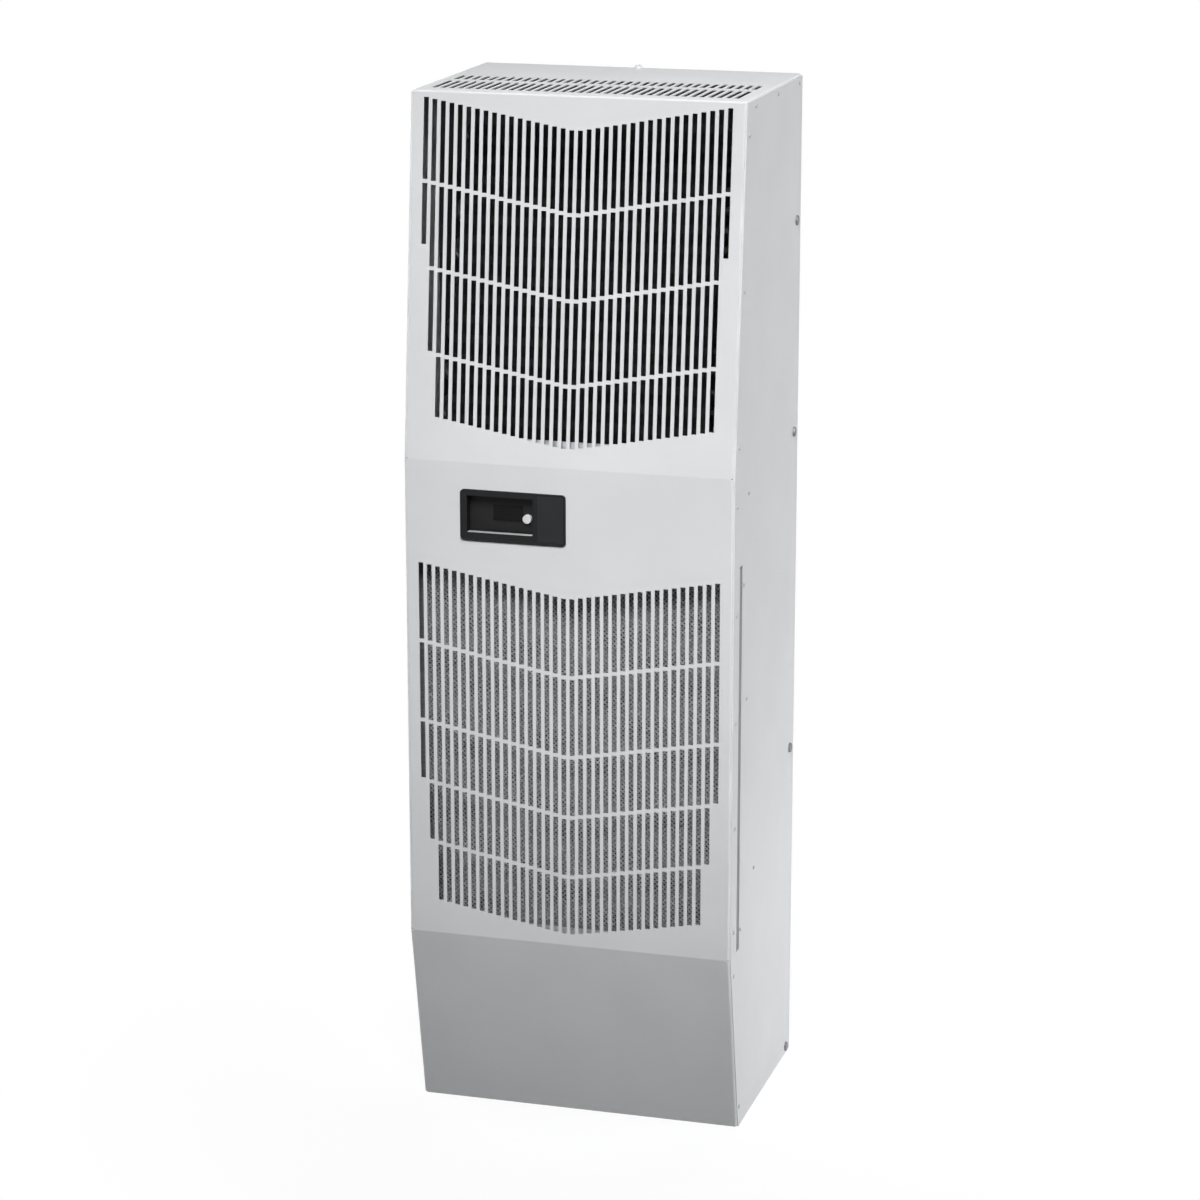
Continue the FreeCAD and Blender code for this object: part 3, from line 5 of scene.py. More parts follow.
import bmesh
import bpy
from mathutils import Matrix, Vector


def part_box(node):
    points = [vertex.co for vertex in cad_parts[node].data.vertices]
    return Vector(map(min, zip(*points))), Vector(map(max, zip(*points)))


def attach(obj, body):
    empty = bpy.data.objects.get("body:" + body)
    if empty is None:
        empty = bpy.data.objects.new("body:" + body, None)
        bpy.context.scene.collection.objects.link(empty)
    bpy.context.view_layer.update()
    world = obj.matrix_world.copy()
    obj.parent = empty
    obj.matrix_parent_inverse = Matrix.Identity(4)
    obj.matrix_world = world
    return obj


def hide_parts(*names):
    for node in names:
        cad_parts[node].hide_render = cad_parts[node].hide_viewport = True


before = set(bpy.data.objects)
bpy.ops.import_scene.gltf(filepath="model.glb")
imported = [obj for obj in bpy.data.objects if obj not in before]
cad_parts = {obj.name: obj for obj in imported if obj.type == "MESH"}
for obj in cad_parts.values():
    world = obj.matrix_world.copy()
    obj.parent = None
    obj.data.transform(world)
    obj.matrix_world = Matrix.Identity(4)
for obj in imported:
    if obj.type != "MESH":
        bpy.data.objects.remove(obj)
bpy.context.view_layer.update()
MM = 0.001

# Places read from the frame.
RIGHT_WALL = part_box("right_side_panel")[1].x
LEFT_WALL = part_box("left_side_panel")[0].x
REAR_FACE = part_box("back_panel")[1].y
FRONT_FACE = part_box("front_cover")[0].y

# Small fasteners of the side panels; each spot is a distance from the rear face and a height, in millimetres.
# The rivets run along the top and then down the upper, middle and lower part of the front edge.
RIVET_SPOTS = [
    (246.8, 1314), (131.3, 1314), (16.4, 1314),
    (278, 1282), (297, 1094), (315.5, 904),
    (320, 831), (320, 693), (320, 554), (320, 416), (320, 278),
    (319, 219), (282, 27)]
SCREW_SPOTS = [(264, 836), (286, 724), (266, 571), (218, 331), (287, 271)]
RIVET_RADIUS, RIVET_HEIGHT, RIVET_SIDES = 2.9 * MM, 1.0 * MM, 16
# Steps of the rivet's dome and of its dimple: inwards from the rim, and up or down.
RIVET_STEPS = [(0.5 * MM, 0.45 * MM), (0.9 * MM, 0.25 * MM), (0.5 * MM, -0.5 * MM)]
SCREW_RADIUS, SCREW_HEIGHT, SCREW_SIDES = 2.4 * MM, 1.6 * MM, 18
SCREW_SLOPE, SCREW_RISE = 0.5 * MM, 0.4 * MM
SOCKET_RIM, SOCKET_DEPTH = 0.7 * MM, 0.9 * MM

# Air filter: flat wires on its front, the stripes of its deeper layers, and the strip on its outer end.
WIRE_PITCH, WIRE_WIDTH, WIRE_THICKNESS = 6.2 * MM, 1.8 * MM, 0.7 * MM
# Lean of each row of wires in degrees, and how many wire thicknesses it lies in front of the mesh.
WIRE_ROWS = [(44, 0.6), (-48, 1.7)]
LAYER_PITCH, LAYER_LEANS = 4.4 * MM, (43, -47)
STRIP_RECESS, STRIP_INSET, STRIP_EDGE = 0.2 * MM, 0.3 * MM, 0.4 * MM
STRIP_RIM, STRIP_CHANNEL = 2.0 * MM, 0.5 * MM

# Condenser coil: its lean in degrees, its corrugated fins and its straight tubes.
COIL_TILT, COIL_DEPTH = 17, 44 * MM
FIN_PITCH, FIN_SHEET, FIN_WAVE, FIN_FOLDS = 3 * MM, 0.25 * MM, 0.4 * MM, 4
TUBE_FIRST, TUBE_PITCH, TUBE_COUNT = 27 * MM, 25 * MM, 16
TUBE_RADIUS, TUBE_WALL, TUBE_BORE, TUBE_SIDES = 4.8 * MM, 0.8 * MM, 2 * MM, 12

# Coil chamber: the black lining, sheets of painted shade with a foam skin, forwards from the rear of the fan
# deck and up to the top of the partition.
LINING_THICKNESS, LINING_GAP, LINING_EDGE = 1.8 * MM, 0.1 * MM, 0.4 * MM
LINING_FOOT, LINING_HEAD, LINING_REACH = 2 * MM, 2.5 * MM, 91.5 * MM

# Controller: the ledge in its recess, from the lower left front corner of the bezel.
LEDGE_FROM_LEFT, LEDGE_LENGTH, LEDGE_RISE = 9.4 * MM, 83.6 * MM, 10.5 * MM
LEDGE_SETBACK, LEDGE_DEPTH = 0.3 * MM, 7.2 * MM
LEDGE_THICKNESS, LEDGE_EDGE = 0.45 * MM, 0.15 * MM

# Studio: the floor's size in metres, how much light it throws back, the shade that it shows, and how far
# from the object it turns from nearly white to white; then the even light of the world.
FLOOR_SIZE = 14
FLOOR_BOUNCE, FLOOR_SHADE = 0.06, 0.9
WHITE_STARTS, WHITE_ENDS, WHITE_NEAR = 0.25, 0.8, 0.88
WORLD_LIGHT = 0.02

# Camera: its place and its aim in metres, its lens and its sensor in millimetres.
CAMERA_PLACE, CAMERA_AIM = Vector((1.273, -4.428, 1.897)), Vector((-0.0551, 0.168, 0.6109))
CAMERA_LENS, CAMERA_SENSOR = 110.87, 36

# Noise and stripes are stretched between these levels, which leave out their rare extremes.
PATTERN_LOW, PATTERN_HIGH = 0.3, 0.7
SPANGLE = 11 * MM

# Edges sharper than this stay sharp, and a face looks along an axis if its normal goes this far along it.
SMOOTH_ANGLE = math.radians(35)
ALONG_AXIS = 0.9


# Material building blocks.
def srgb(red, green, blue):
    """A colour as read off a screen, and not nearly black, as a linear colour."""
    return tuple(((value / 255 + 0.055) / 1.055) ** 2.4 for value in (red, green, blue))


class Finish:
    """One material with patterns that lie in the object's own coordinates."""

    def __init__(self, name, roughness=0.5, metallic=0.0, gloss=0.5):
        self.material = bpy.data.materials.new(name)
        self.material.use_nodes = True
        self.nodes = self.material.node_tree.nodes
        self.links = self.material.node_tree.links
        self.shader = self.nodes["Principled BSDF"]
        self.shader.inputs["Roughness"].default_value = roughness
        self.shader.inputs["Metallic"].default_value = metallic
        self.shader.inputs["Specular IOR Level"].default_value = gloss
        self.place = self.nodes.new("ShaderNodeTexCoord").outputs["Object"]

    def turned(self, angles=(0, 0, 0), scale=(1, 1, 1)):
        """Object coordinates that are turned or stretched."""
        node = self.nodes.new("ShaderNodeMapping")
        node.inputs["Rotation"].default_value = angles
        node.inputs["Scale"].default_value = scale
        self.links.new(self.place, node.inputs["Vector"])
        return node.outputs["Vector"]

    def noise(self, size, detail=3, where=None):
        """Clouds whose lumps are about this large, in metres."""
        node = self.nodes.new("ShaderNodeTexNoise")
        node.inputs["Scale"].default_value = 1 / size
        node.inputs["Detail"].default_value = detail
        self.links.new(where or self.place, node.inputs["Vector"])
        return node.outputs["Fac"]

    def cells(self, size, what):
        """Random cells about this large, in metres: their colours, or the distance from their middles."""
        node = self.nodes.new("ShaderNodeTexVoronoi")
        node.inputs["Scale"].default_value = 1 / size
        self.links.new(self.place, node.inputs["Vector"])
        return node.outputs[what]

    def stripes(self, pitch, direction, where=None):
        """Soft stripes with this pitch, in metres; at a scale of 1 they repeat every tenth of pi."""
        node = self.nodes.new("ShaderNodeTexWave")
        node.bands_direction = direction
        node.inputs["Scale"].default_value = math.pi / 10 / pitch
        self.links.new(where or self.place, node.inputs["Vector"])
        return node.outputs["Fac"]

    def ramp(self, value, stops):
        """A colour ramp from levels of a value to colours."""
        node = self.nodes.new("ShaderNodeValToRGB")
        row = node.color_ramp.elements
        row[0].position, row[1].position = stops[0][0], stops[-1][0]
        row[0].color, row[1].color = (*stops[0][1], 1), (*stops[-1][1], 1)
        for position, colour in stops[1:-1]:
            row.new(position).color = (*colour, 1)
        self.links.new(value, node.inputs["Fac"])
        return node.outputs["Color"]

    def span(self, value, low, high):
        """A pattern stretched between two limits."""
        node = self.nodes.new("ShaderNodeMapRange")
        node.inputs["From Min"].default_value = PATTERN_LOW
        node.inputs["From Max"].default_value = PATTERN_HIGH
        node.inputs["To Min"].default_value = low
        node.inputs["To Max"].default_value = high
        self.links.new(value, node.inputs["Value"])
        return node.outputs["Result"]

    def mixed(self, value, first, second):
        """A pattern that goes from one shade to a second one, which may be a plain colour."""
        node = self.nodes.new("ShaderNodeMix")
        node.data_type = "RGBA"
        self.links.new(value, node.inputs["Factor"])
        self.links.new(first, node.inputs["A"])
        if isinstance(second, tuple):
            node.inputs["B"].default_value = (*second, 1)
        else:
            self.links.new(second, node.inputs["B"])
        return node.outputs["Result"]

    def colour(self, source):
        """Colours the surface by a pattern."""
        self.links.new(source, self.shader.inputs["Base Color"])

    def roughness(self, source):
        """Makes the surface dull and smooth by a pattern."""
        self.links.new(source, self.shader.inputs["Roughness"])

    def bump(self, height, depth, strength):
        """Gives the surface a relief of this depth, in metres."""
        node = self.nodes.new("ShaderNodeBump")
        node.inputs["Distance"].default_value = depth
        node.inputs["Strength"].default_value = strength
        self.links.new(height, node.inputs["Height"])
        self.links.new(node.outputs["Normal"], self.shader.inputs["Normal"])


# Finishes.
def cabinet_paint():
    """Light grey powder coat with a fine orange peel and hardly visible clouds."""
    paint = Finish("light_grey_powder_coat", gloss=0.25)
    clouds = paint.noise(90 * MM, 4)
    paint.colour(paint.ramp(clouds, [(0.3, (0.605, 0.615, 0.628)), (0.7, (0.633, 0.643, 0.655))]))
    peel = paint.noise(1.6 * MM, 2)
    paint.roughness(paint.span(peel, 0.42, 0.56))
    paint.bump(peel, 0.05 * MM, 0.35)
    return paint.material


def fastener_paint():
    """The cabinet paint, darker over rivets and screws as painted shade of their dimples and sockets."""
    paint = Finish("fastener_paint_with_painted_shade")
    wear = paint.noise(1.5 * MM, 3)
    # These greys are darker than the cabinet paint: painted shade of the small heads.
    paint.colour(paint.ramp(wear, [(0.35, srgb(156, 158, 161)), (0.7, srgb(182, 184, 186))]))
    paint.roughness(paint.span(wear, 0.4, 0.55))
    paint.bump(wear, 0.04 * MM, 0.4)
    return paint.material


def galvanised_sheet(name="spangled_zinc_sheet", tone=1.0):
    """Hot dipped zinc with spangles of many shades."""
    zinc = Finish(name, metallic=0.35)
    spangle = zinc.cells(SPANGLE, "Color")
    clouds = zinc.noise(50 * MM)
    light = (0.60 * tone, 0.62 * tone, 0.64 * tone)
    dark = (0.43 * tone, 0.45 * tone, 0.47 * tone)
    shade = zinc.ramp(spangle, [(0.15, dark), (0.85, light)])
    zinc.colour(zinc.mixed(clouds, shade, light))
    zinc.roughness(zinc.span(spangle, 0.34, 0.52))
    zinc.bump(zinc.cells(SPANGLE, "Distance"), 0.03 * MM, 0.4)
    return zinc.material


def dark_zinc():
    """Dark plated bolts, rubbed lighter in places."""
    zinc = Finish("dark_zinc_bolt", metallic=0.5)
    rub = zinc.noise(1.5 * MM, 4)
    zinc.colour(zinc.ramp(rub, [(0.35, srgb(84, 86, 90)), (0.7, srgb(140, 142, 146))]))
    zinc.roughness(zinc.span(rub, 0.4, 0.58))
    zinc.bump(rub, 0.05 * MM, 0.3)
    return zinc.material


def pale_plug():
    """Moulded pale plastic with a little dust."""
    plastic = Finish("pale_plug_plastic", gloss=0.25)
    dust = plastic.noise(3 * MM, 4)
    plastic.colour(plastic.ramp(dust, [(0.35, srgb(200, 201, 203)), (0.7, srgb(210, 211, 212))]))
    plastic.roughness(plastic.span(dust, 0.45, 0.6))
    plastic.bump(dust, 0.02 * MM, 0.3)
    return plastic.material


def bright_zinc():
    """Pale plated steel of the rivet nuts, with marks along their length."""
    zinc = Finish("bright_zinc_insert", metallic=0.95)
    turning = zinc.noise(0.8 * MM, 3, zinc.turned(scale=(1, 0.15, 1)))
    zinc.colour(zinc.ramp(turning, [(0.3, srgb(176, 176, 170)), (0.7, srgb(214, 214, 208))]))
    zinc.roughness(zinc.span(turning, 0.22, 0.4))
    zinc.bump(turning, 0.03 * MM, 0.4)
    return zinc.material


def closed_cell_foam(name, dark, light, pore):
    """Foam with small open pores in its skin, painted darker at their middles as shade in them."""
    foam = Finish(name, roughness=0.9)
    bubbles = foam.cells(pore, "Distance")
    clouds = foam.noise(30 * MM)
    # Painted shade: the colour darkens towards the middle of each pore.
    shade = foam.ramp(bubbles, [(0.05, dark), (0.45, light)])
    foam.colour(foam.mixed(clouds, shade, light))
    foam.bump(bubbles, 0.35 * MM, 0.7)
    return foam.material


def matt_rubber():
    """Black rubber with a dusty bloom."""
    rubber = Finish("matt_black_rubber")
    bloom = rubber.noise(6 * MM, 5)
    rubber.colour(rubber.ramp(bloom, [(0.35, (0.012, 0.012, 0.012)), (0.75, (0.035, 0.035, 0.036))]))
    rubber.roughness(rubber.span(bloom, 0.62, 0.85))
    rubber.bump(rubber.noise(0.6 * MM, 2), 0.04 * MM, 0.5)
    return rubber.material


def dull_aluminium():
    """Rolled aluminium, dull with use, with fine lines along it."""
    strip = Finish("dull_filter_aluminium", metallic=0.3, gloss=0.3)
    lines = strip.noise(1.2 * MM, 3, strip.turned(scale=(0.05, 1, 1)))
    strip.colour(strip.ramp(lines, [(0.3, (0.17, 0.173, 0.178)), (0.7, (0.27, 0.274, 0.28))]))
    strip.roughness(strip.span(lines, 0.42, 0.58))
    strip.bump(lines, 0.03 * MM, 0.4)
    return strip.material


def mesh_layers():
    """The deeper layers of the wire mesh, with painted shade between crossing wires."""
    layers = Finish("deep_filter_mesh", roughness=0.6, metallic=0.15)
    rising, falling = [
        layers.stripes(LAYER_PITCH, "X", layers.turned((0, math.radians(lean), 0))) for lean in LAYER_LEANS]
    # The colour between the wires is painted shade, the darkness of the holes in the mesh.
    painted_gap_shade, wire = (0.045, 0.046, 0.049), (0.30, 0.305, 0.315)
    first = layers.ramp(rising, [(0.55, painted_gap_shade), (0.9, wire)])
    second = layers.ramp(falling, [(0.55, painted_gap_shade), (0.9, wire)])
    layers.colour(layers.mixed(layers.noise(7 * MM), first, second))
    layers.bump(rising, 0.5 * MM, 0.6)
    return layers.material


def mesh_wire():
    """Flattened aluminium wire, with painted highlights on its crimps and dull with dust between them."""
    wire = Finish("crimped_filter_wire", metallic=0.2)
    crimp = wire.noise(5 * MM)
    # The palest colour is a painted highlight on the crimps; the darkest is dust.
    dusty, plain, painted_crimp_glint = (0.19, 0.194, 0.20), (0.33, 0.335, 0.345), (0.54, 0.55, 0.56)
    wire.colour(wire.ramp(crimp, [(0.3, dusty), (0.5, plain), (0.72, painted_crimp_glint)]))
    wire.roughness(wire.span(crimp, 0.55, 0.35))
    wire.bump(wire.noise(1.5 * MM, 2), 0.1 * MM, 0.5)
    return wire.material


def grained_plastic(name, tone, grain=0.9 * MM, low=0.4, high=0.55, gloss=0.3):
    """Moulded plastic with a fine spark grain and slightly cloudy colour."""
    plastic = Finish(name, gloss=gloss)
    clouds = plastic.noise(20 * MM)
    darker = tuple(value * 0.8 for value in tone)
    plastic.colour(plastic.ramp(clouds, [(0.3, darker), (0.7, tone)]))
    spark = plastic.noise(grain)
    plastic.roughness(plastic.span(spark, low, high))
    plastic.bump(spark, 0.04 * MM, 0.5)
    return plastic.material


def smoked_window():
    """Smoked glossy display window with faint wiping marks."""
    window = Finish("smoked_display_window", gloss=0.1)
    wipes = window.noise(4 * MM, 4, window.turned((0, 0.6, 0), (0.3, 1, 1)))
    window.colour(window.ramp(wipes, [(0.3, (0.004, 0.004, 0.005)), (0.75, (0.007, 0.007, 0.008))]))
    window.roughness(window.span(wipes, 0.05, 0.14))
    window.bump(wipes, 0.01 * MM, 0.2)
    return window.material


def drawn_metal(name, dark, light, along, low=0.2, high=0.38):
    """Drawn or turned metal with fine marks, which can be stretched along it, and a few stains."""
    metal = Finish(name, metallic=1.0)
    lines = metal.noise(1.4 * MM, 3, metal.turned(scale=along))
    stains = metal.noise(25 * MM, 5)
    shade = metal.ramp(lines, [(0.3, dark), (0.7, light)])
    metal.colour(metal.mixed(stains, shade, light))
    metal.roughness(metal.span(stains, low, high))
    metal.bump(lines, 0.03 * MM, 0.35)
    return metal.material


def enamel(name, tone, gloss=0.5):
    """Dark enamel with dust and a slightly wavy skin."""
    coat = Finish(name, gloss=gloss)
    dust = coat.noise(15 * MM, 5)
    dusty = tuple(value * 2.2 for value in tone)
    coat.colour(coat.ramp(dust, [(0.35, tone), (0.8, dusty)]))
    coat.roughness(coat.span(dust, 0.24, 0.45))
    coat.bump(coat.noise(3 * MM, 2), 0.04 * MM, 0.35)
    return coat.material


def coated_fins():
    """Black coated fin edges with dust, and painted glints in bands at the pitch of the tubes."""
    fins = Finish("black_coated_fins", metallic=0.2)
    bands = fins.stripes(TUBE_PITCH, "Z", fins.turned((math.radians(COIL_TILT), 0, 0)))
    dust = fins.noise(9 * MM, 4)
    plain = fins.ramp(dust, [(0.35, (0.010, 0.010, 0.011)), (0.75, (0.022, 0.022, 0.024))])
    # Painted glint: the paler colour of the bands stands in for light caught along the rows of tubes.
    painted_band_glint = fins.ramp(dust, [(0.35, (0.03, 0.03, 0.032)), (0.75, (0.06, 0.06, 0.064))])
    fins.colour(fins.mixed(fins.span(bands, -1.0, 1.0), plain, painted_band_glint))
    fins.roughness(fins.span(dust, 0.4, 0.6))
    return fins.material


def bare_fins():
    """Bare aluminium fins, shown as fine upright lines with painted shade between them."""
    fins = Finish("bare_evaporator_fins", metallic=0.7)
    lines = fins.stripes(2 * MM, "X")
    clouds = fins.noise(40 * MM, 4)
    # The dark stops of these lines are painted shade in the gaps between the fins.
    shade = fins.ramp(lines, [(0.2, (0.10, 0.10, 0.105)), (0.7, (0.62, 0.63, 0.64))])
    fins.colour(fins.mixed(clouds, shade, (0.5, 0.51, 0.52)))
    fins.roughness(fins.span(clouds, 0.3, 0.5))
    fins.bump(lines, 0.6 * MM, 0.8)
    return fins.material


FINISHES = {
    "cabinet_paint": cabinet_paint,
    "zinc_dark": dark_zinc,
    "plug_plastic": pale_plug,
    "galvanised": galvanised_sheet,
    "insert_steel": bright_zinc,
    "gasket_foam": lambda: closed_cell_foam(
        "black_gasket_foam", (0.010, 0.010, 0.010), (0.045, 0.045, 0.046), pore=1.6 * MM),
    "black_rubber": matt_rubber,
    "filter_aluminium": dull_aluminium,
    "filter_mesh": mesh_layers,
    "bezel_plastic": lambda: grained_plastic("black_bezel_plastic", (0.0125, 0.0128, 0.0136), gloss=0.15),
    "plate_plastic": lambda: grained_plastic(
        "black_plate_plastic", (0.0175, 0.018, 0.0192), grain=0.5 * MM, low=0.34, high=0.46, gloss=0.2),
    "display_plastic": smoked_window,
    "button_plastic": lambda: grained_plastic(
        "white_button_plastic", (0.66, 0.66, 0.665), grain=0.6 * MM, low=0.35, high=0.45),
    "case_plastic": lambda: grained_plastic("black_case_plastic", (0.03, 0.03, 0.032)),
    "capacitor_can": lambda: drawn_metal(
        "drawn_capacitor_can", (0.5, 0.5, 0.51), (0.72, 0.72, 0.73), along=(1, 1, 0.08)),
    "wheel_steel": lambda: galvanised_sheet("blower_wheel_zinc", tone=0.9),
    "motor_paint": lambda: enamel("black_motor_enamel", (0.02, 0.02, 0.022)),
    "condenser_fin": coated_fins,
    "coated_copper": lambda: enamel("black_coated_bends", (0.012, 0.012, 0.013), gloss=0.25),
    "coated_plate": lambda: enamel("black_coated_end_plates", (0.010, 0.010, 0.011), gloss=0.1),
    "evaporator_fin": bare_fins,
    "copper": lambda: drawn_metal(
        "drawn_copper_tube", (0.42, 0.19, 0.11), (0.76, 0.41, 0.27), along=(0.4, 0.4, 0.4),
        low=0.22, high=0.45),
    "valve_brass": lambda: drawn_metal(
        "turned_valve_brass", (0.52, 0.37, 0.14), (0.74, 0.57, 0.27), along=(1, 1, 0.2)),
    "impeller_plastic": lambda: grained_plastic(
        "black_impeller_plastic", (0.035, 0.035, 0.037), grain=1.4 * MM),
    "compressor_paint": lambda: enamel("black_compressor_enamel", (0.014, 0.014, 0.015)),
    "drain_plastic": lambda: grained_plastic("grey_drain_plastic", (0.5, 0.5, 0.48), grain=1.2 * MM),
}

# Solids with another finish than that of their slot: what is coated like the coil, and a dull filter guide.
FINISHED_LIKE = {
    "discharge_line": "coated_copper",
    "liquid_line": "coated_copper",
    "filter_drier": "coated_copper",
    "filter_guide_top": "filter_aluminium",
}


def dress_nodes():
    """Gives each solid the finish of its slot, or the finish that it has instead."""
    made = {slot: make() for slot, make in FINISHES.items()}
    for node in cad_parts.values():
        for row in node.material_slots:
            slot = row.material.name.split(".")[0]
            row.material = made[slot]
    for name, slot in FINISHED_LIKE.items():
        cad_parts[name].material_slots[0].material = made[slot]
    return made


# Modelling helpers.
def deselect_all():
    """Leaves edit mode, with nothing selected."""
    if bpy.context.object and bpy.context.object.mode != "OBJECT":
        bpy.ops.object.mode_set(mode="OBJECT")
    bpy.ops.object.select_all(action="DESELECT")


def take_up(piece):
    """Selects one piece alone and makes it the active one."""
    deselect_all()
    piece.select_set(True)
    bpy.context.view_layer.objects.active = piece


def settle(piece):
    """Puts the place of a piece into its mesh."""
    take_up(piece)
    bpy.ops.object.transform_apply(location=True, rotation=True, scale=True)


def join_pieces(pieces):
    """Joins pieces to the first of them."""
    take_up(pieces[0])
    for piece in pieces:
        piece.select_set(True)
    bpy.ops.object.join()
    return pieces[0]


def pick_faces(piece, test):
    """Selects the faces that pass a test, in edit mode."""
    bpy.ops.mesh.select_all(action="DESELECT")
    mesh = bmesh.from_edit_mesh(piece.data)
    for face in mesh.faces:
        face.select_set(test(face))
    bmesh.update_edit_mesh(piece.data)


def apply_modifier(piece, kind, **values):
    """Adds a modifier with these values and applies it."""
    take_up(piece)
    modifier = piece.modifiers.new(kind.lower(), kind)
    for name, value in values.items():
        setattr(modifier, name, value)
    bpy.ops.object.modifier_apply(modifier=modifier.name)


def repeat(piece, count, step):
    """Repeats a piece in a straight row."""
    apply_modifier(piece, "ARRAY", count=count, use_relative_offset=False,
                   use_constant_offset=True, constant_offset_displace=step)


def flat_piece(low, high, edge):
    """A flat piece between two corners, with rounded edges."""
    deselect_all()
    middle = [(first + last) / 2 for first, last in zip(low, high)]
    bpy.ops.mesh.primitive_cube_add(size=1, location=middle)
    piece = bpy.context.object
    piece.scale = [last - first for first, last in zip(low, high)]
    settle(piece)
    apply_modifier(piece, "BEVEL", width=edge, segments=2)
    return piece


def finish_piece(piece, name, material, body="cabinet"):
    """Names a piece, gives it its finish and smooth shading, and lets it ride on its body."""
    piece.name = name
    piece.data.name = name
    piece.data.materials.clear()
    piece.data.materials.append(material)
    take_up(piece)
    bpy.ops.object.shade_smooth_by_angle(angle=SMOOTH_ANGLE)
    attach(piece, body)


# Small fasteners of the side panels.
def head_disc(radius, height, sides):
    """A disc in edit mode, with its upper face selected."""
    deselect_all()
    bpy.ops.mesh.primitive_cylinder_add(vertices=sides, radius=radius, depth=height)
    head = bpy.context.object
    bpy.ops.object.mode_set(mode="EDIT")
    pick_faces(head, lambda face: face.normal.z > ALONG_AXIS)
    return head


def rivet_model():
    """A low domed rivet with a small dimple."""
    head = head_disc(RIVET_RADIUS, RIVET_HEIGHT, RIVET_SIDES)
    for inwards, rise in RIVET_STEPS:
        bpy.ops.mesh.inset(thickness=inwards, depth=rise)
    bpy.ops.object.mode_set(mode="OBJECT")
    return head


def screw_model():
    """A small pan head with a round socket."""
    head = head_disc(SCREW_RADIUS, SCREW_HEIGHT, SCREW_SIDES)
    bpy.ops.mesh.inset(thickness=SCREW_SLOPE, depth=SCREW_RISE)
    bpy.ops.mesh.inset(thickness=SOCKET_RIM)
    bpy.ops.mesh.extrude_region_move(TRANSFORM_OT_translate={"value": (0, 0, -SOCKET_DEPTH)})
    bpy.ops.object.mode_set(mode="OBJECT")
    return head


def heads_on_walls(model, spots):
    """Copies of a head that points up, set on both side walls and joined to one piece."""
    heads = []
    for wall, turn in ((LEFT_WALL, -90), (RIGHT_WALL, 90)):
        for depth, height in spots:
            head = model.copy()
            head.data = model.data.copy()
            bpy.context.collection.objects.link(head)
            head.location = (wall, REAR_FACE - depth * MM, height * MM)
            head.rotation_euler = (0, math.radians(turn), 0)
            heads.append(head)
    bpy.data.objects.remove(model)
    group = join_pieces(heads)
    settle(group)
    return group


def side_fasteners():
    """The rivets and the small screws, all painted over."""
    paint = fastener_paint()
    rivets = heads_on_walls(rivet_model(), RIVET_SPOTS)
    finish_piece(rivets, "side_rivets", paint)
    screws = heads_on_walls(screw_model(), SCREW_SPOTS)
    finish_piece(screws, "side_screws", paint)


# Air filter: crossing wires in front of the deeper layers, and the end of the frame.
def wire_row(lean, depth):
    """A row of slanting wires, cut to the opening of the filter frame."""
    low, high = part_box("filter_mesh")
    width, height = high.x - low.x, high.z - low.z
    middle = (low.z + high.z) / 2
    reach = height / math.cos(math.radians(lean)) + width
    spread = width + height * abs(math.tan(math.radians(lean)))
    deselect_all()
    bpy.ops.mesh.primitive_cube_add(size=1, location=(-spread / 2, depth, middle))
    row = bpy.context.object
    row.scale = (WIRE_WIDTH, WIRE_THICKNESS, reach)
    row.rotation_euler = (0, math.radians(lean), 0)
    settle(row)
    repeat(row, int(spread / WIRE_PITCH), (WIRE_PITCH, 0, 0))
    bpy.ops.object.mode_set(mode="EDIT")
    for point, out in ((low, (-1, 0, 0)), (low, (0, 0, -1)), (high, (1, 0, 0)), (high, (0, 0, 1))):
        bpy.ops.mesh.select_all(action="SELECT")
        bpy.ops.mesh.bisect(plane_co=point, plane_no=out, use_fill=True, clear_outer=True)
    bpy.ops.object.mode_set(mode="OBJECT")
    return row


def filter_weave():
    """The crossing rows of wires that show through the lower grille."""
    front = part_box("filter_mesh")[0].y
    rows = [wire_row(lean, front - WIRE_THICKNESS * layer) for lean, layer in WIRE_ROWS]
    finish_piece(join_pieces(rows), "filter_weave", mesh_wire(), "filter")


def filter_end_strip(made):
    """A channelled strip on the frame, which ends nearly flush with the side panel."""
    low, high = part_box("filter_frame")
    outside = RIGHT_WALL - STRIP_RECESS
    strip = flat_piece((high.x, low.y + STRIP_INSET, low.z + STRIP_INSET),
                       (outside, high.y - STRIP_INSET, high.z - STRIP_INSET), STRIP_EDGE)
    bpy.ops.object.mode_set(mode="EDIT")
    pick_faces(strip, lambda face: face.normal.x > ALONG_AXIS)
    bpy.ops.mesh.inset(thickness=STRIP_RIM, depth=-STRIP_CHANNEL)
    bpy.ops.object.mode_set(mode="OBJECT")
    finish_piece(strip, "filter_end_strip", made["filter_aluminium"], "filter")


# Condenser coil: corrugated fins on straight tubes in place of the plain block.
def lean_coil(piece, foot):
    """Turns a piece from the coil's own frame to its place behind the grille."""
    piece.location = foot
    piece.rotation_euler = (math.radians(-COIL_TILT), 0, 0)
    settle(piece)


def coil_foot():
    """The lower front edge of the coil, its length along the lean, and its left and right end."""
    low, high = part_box("condenser_fins")
    lean = math.radians(COIL_TILT)
    foot = Vector((0, low.y, low.z + COIL_DEPTH * math.sin(lean)))
    return foot, (high.z - foot.z) / math.cos(lean), low.x, high.x


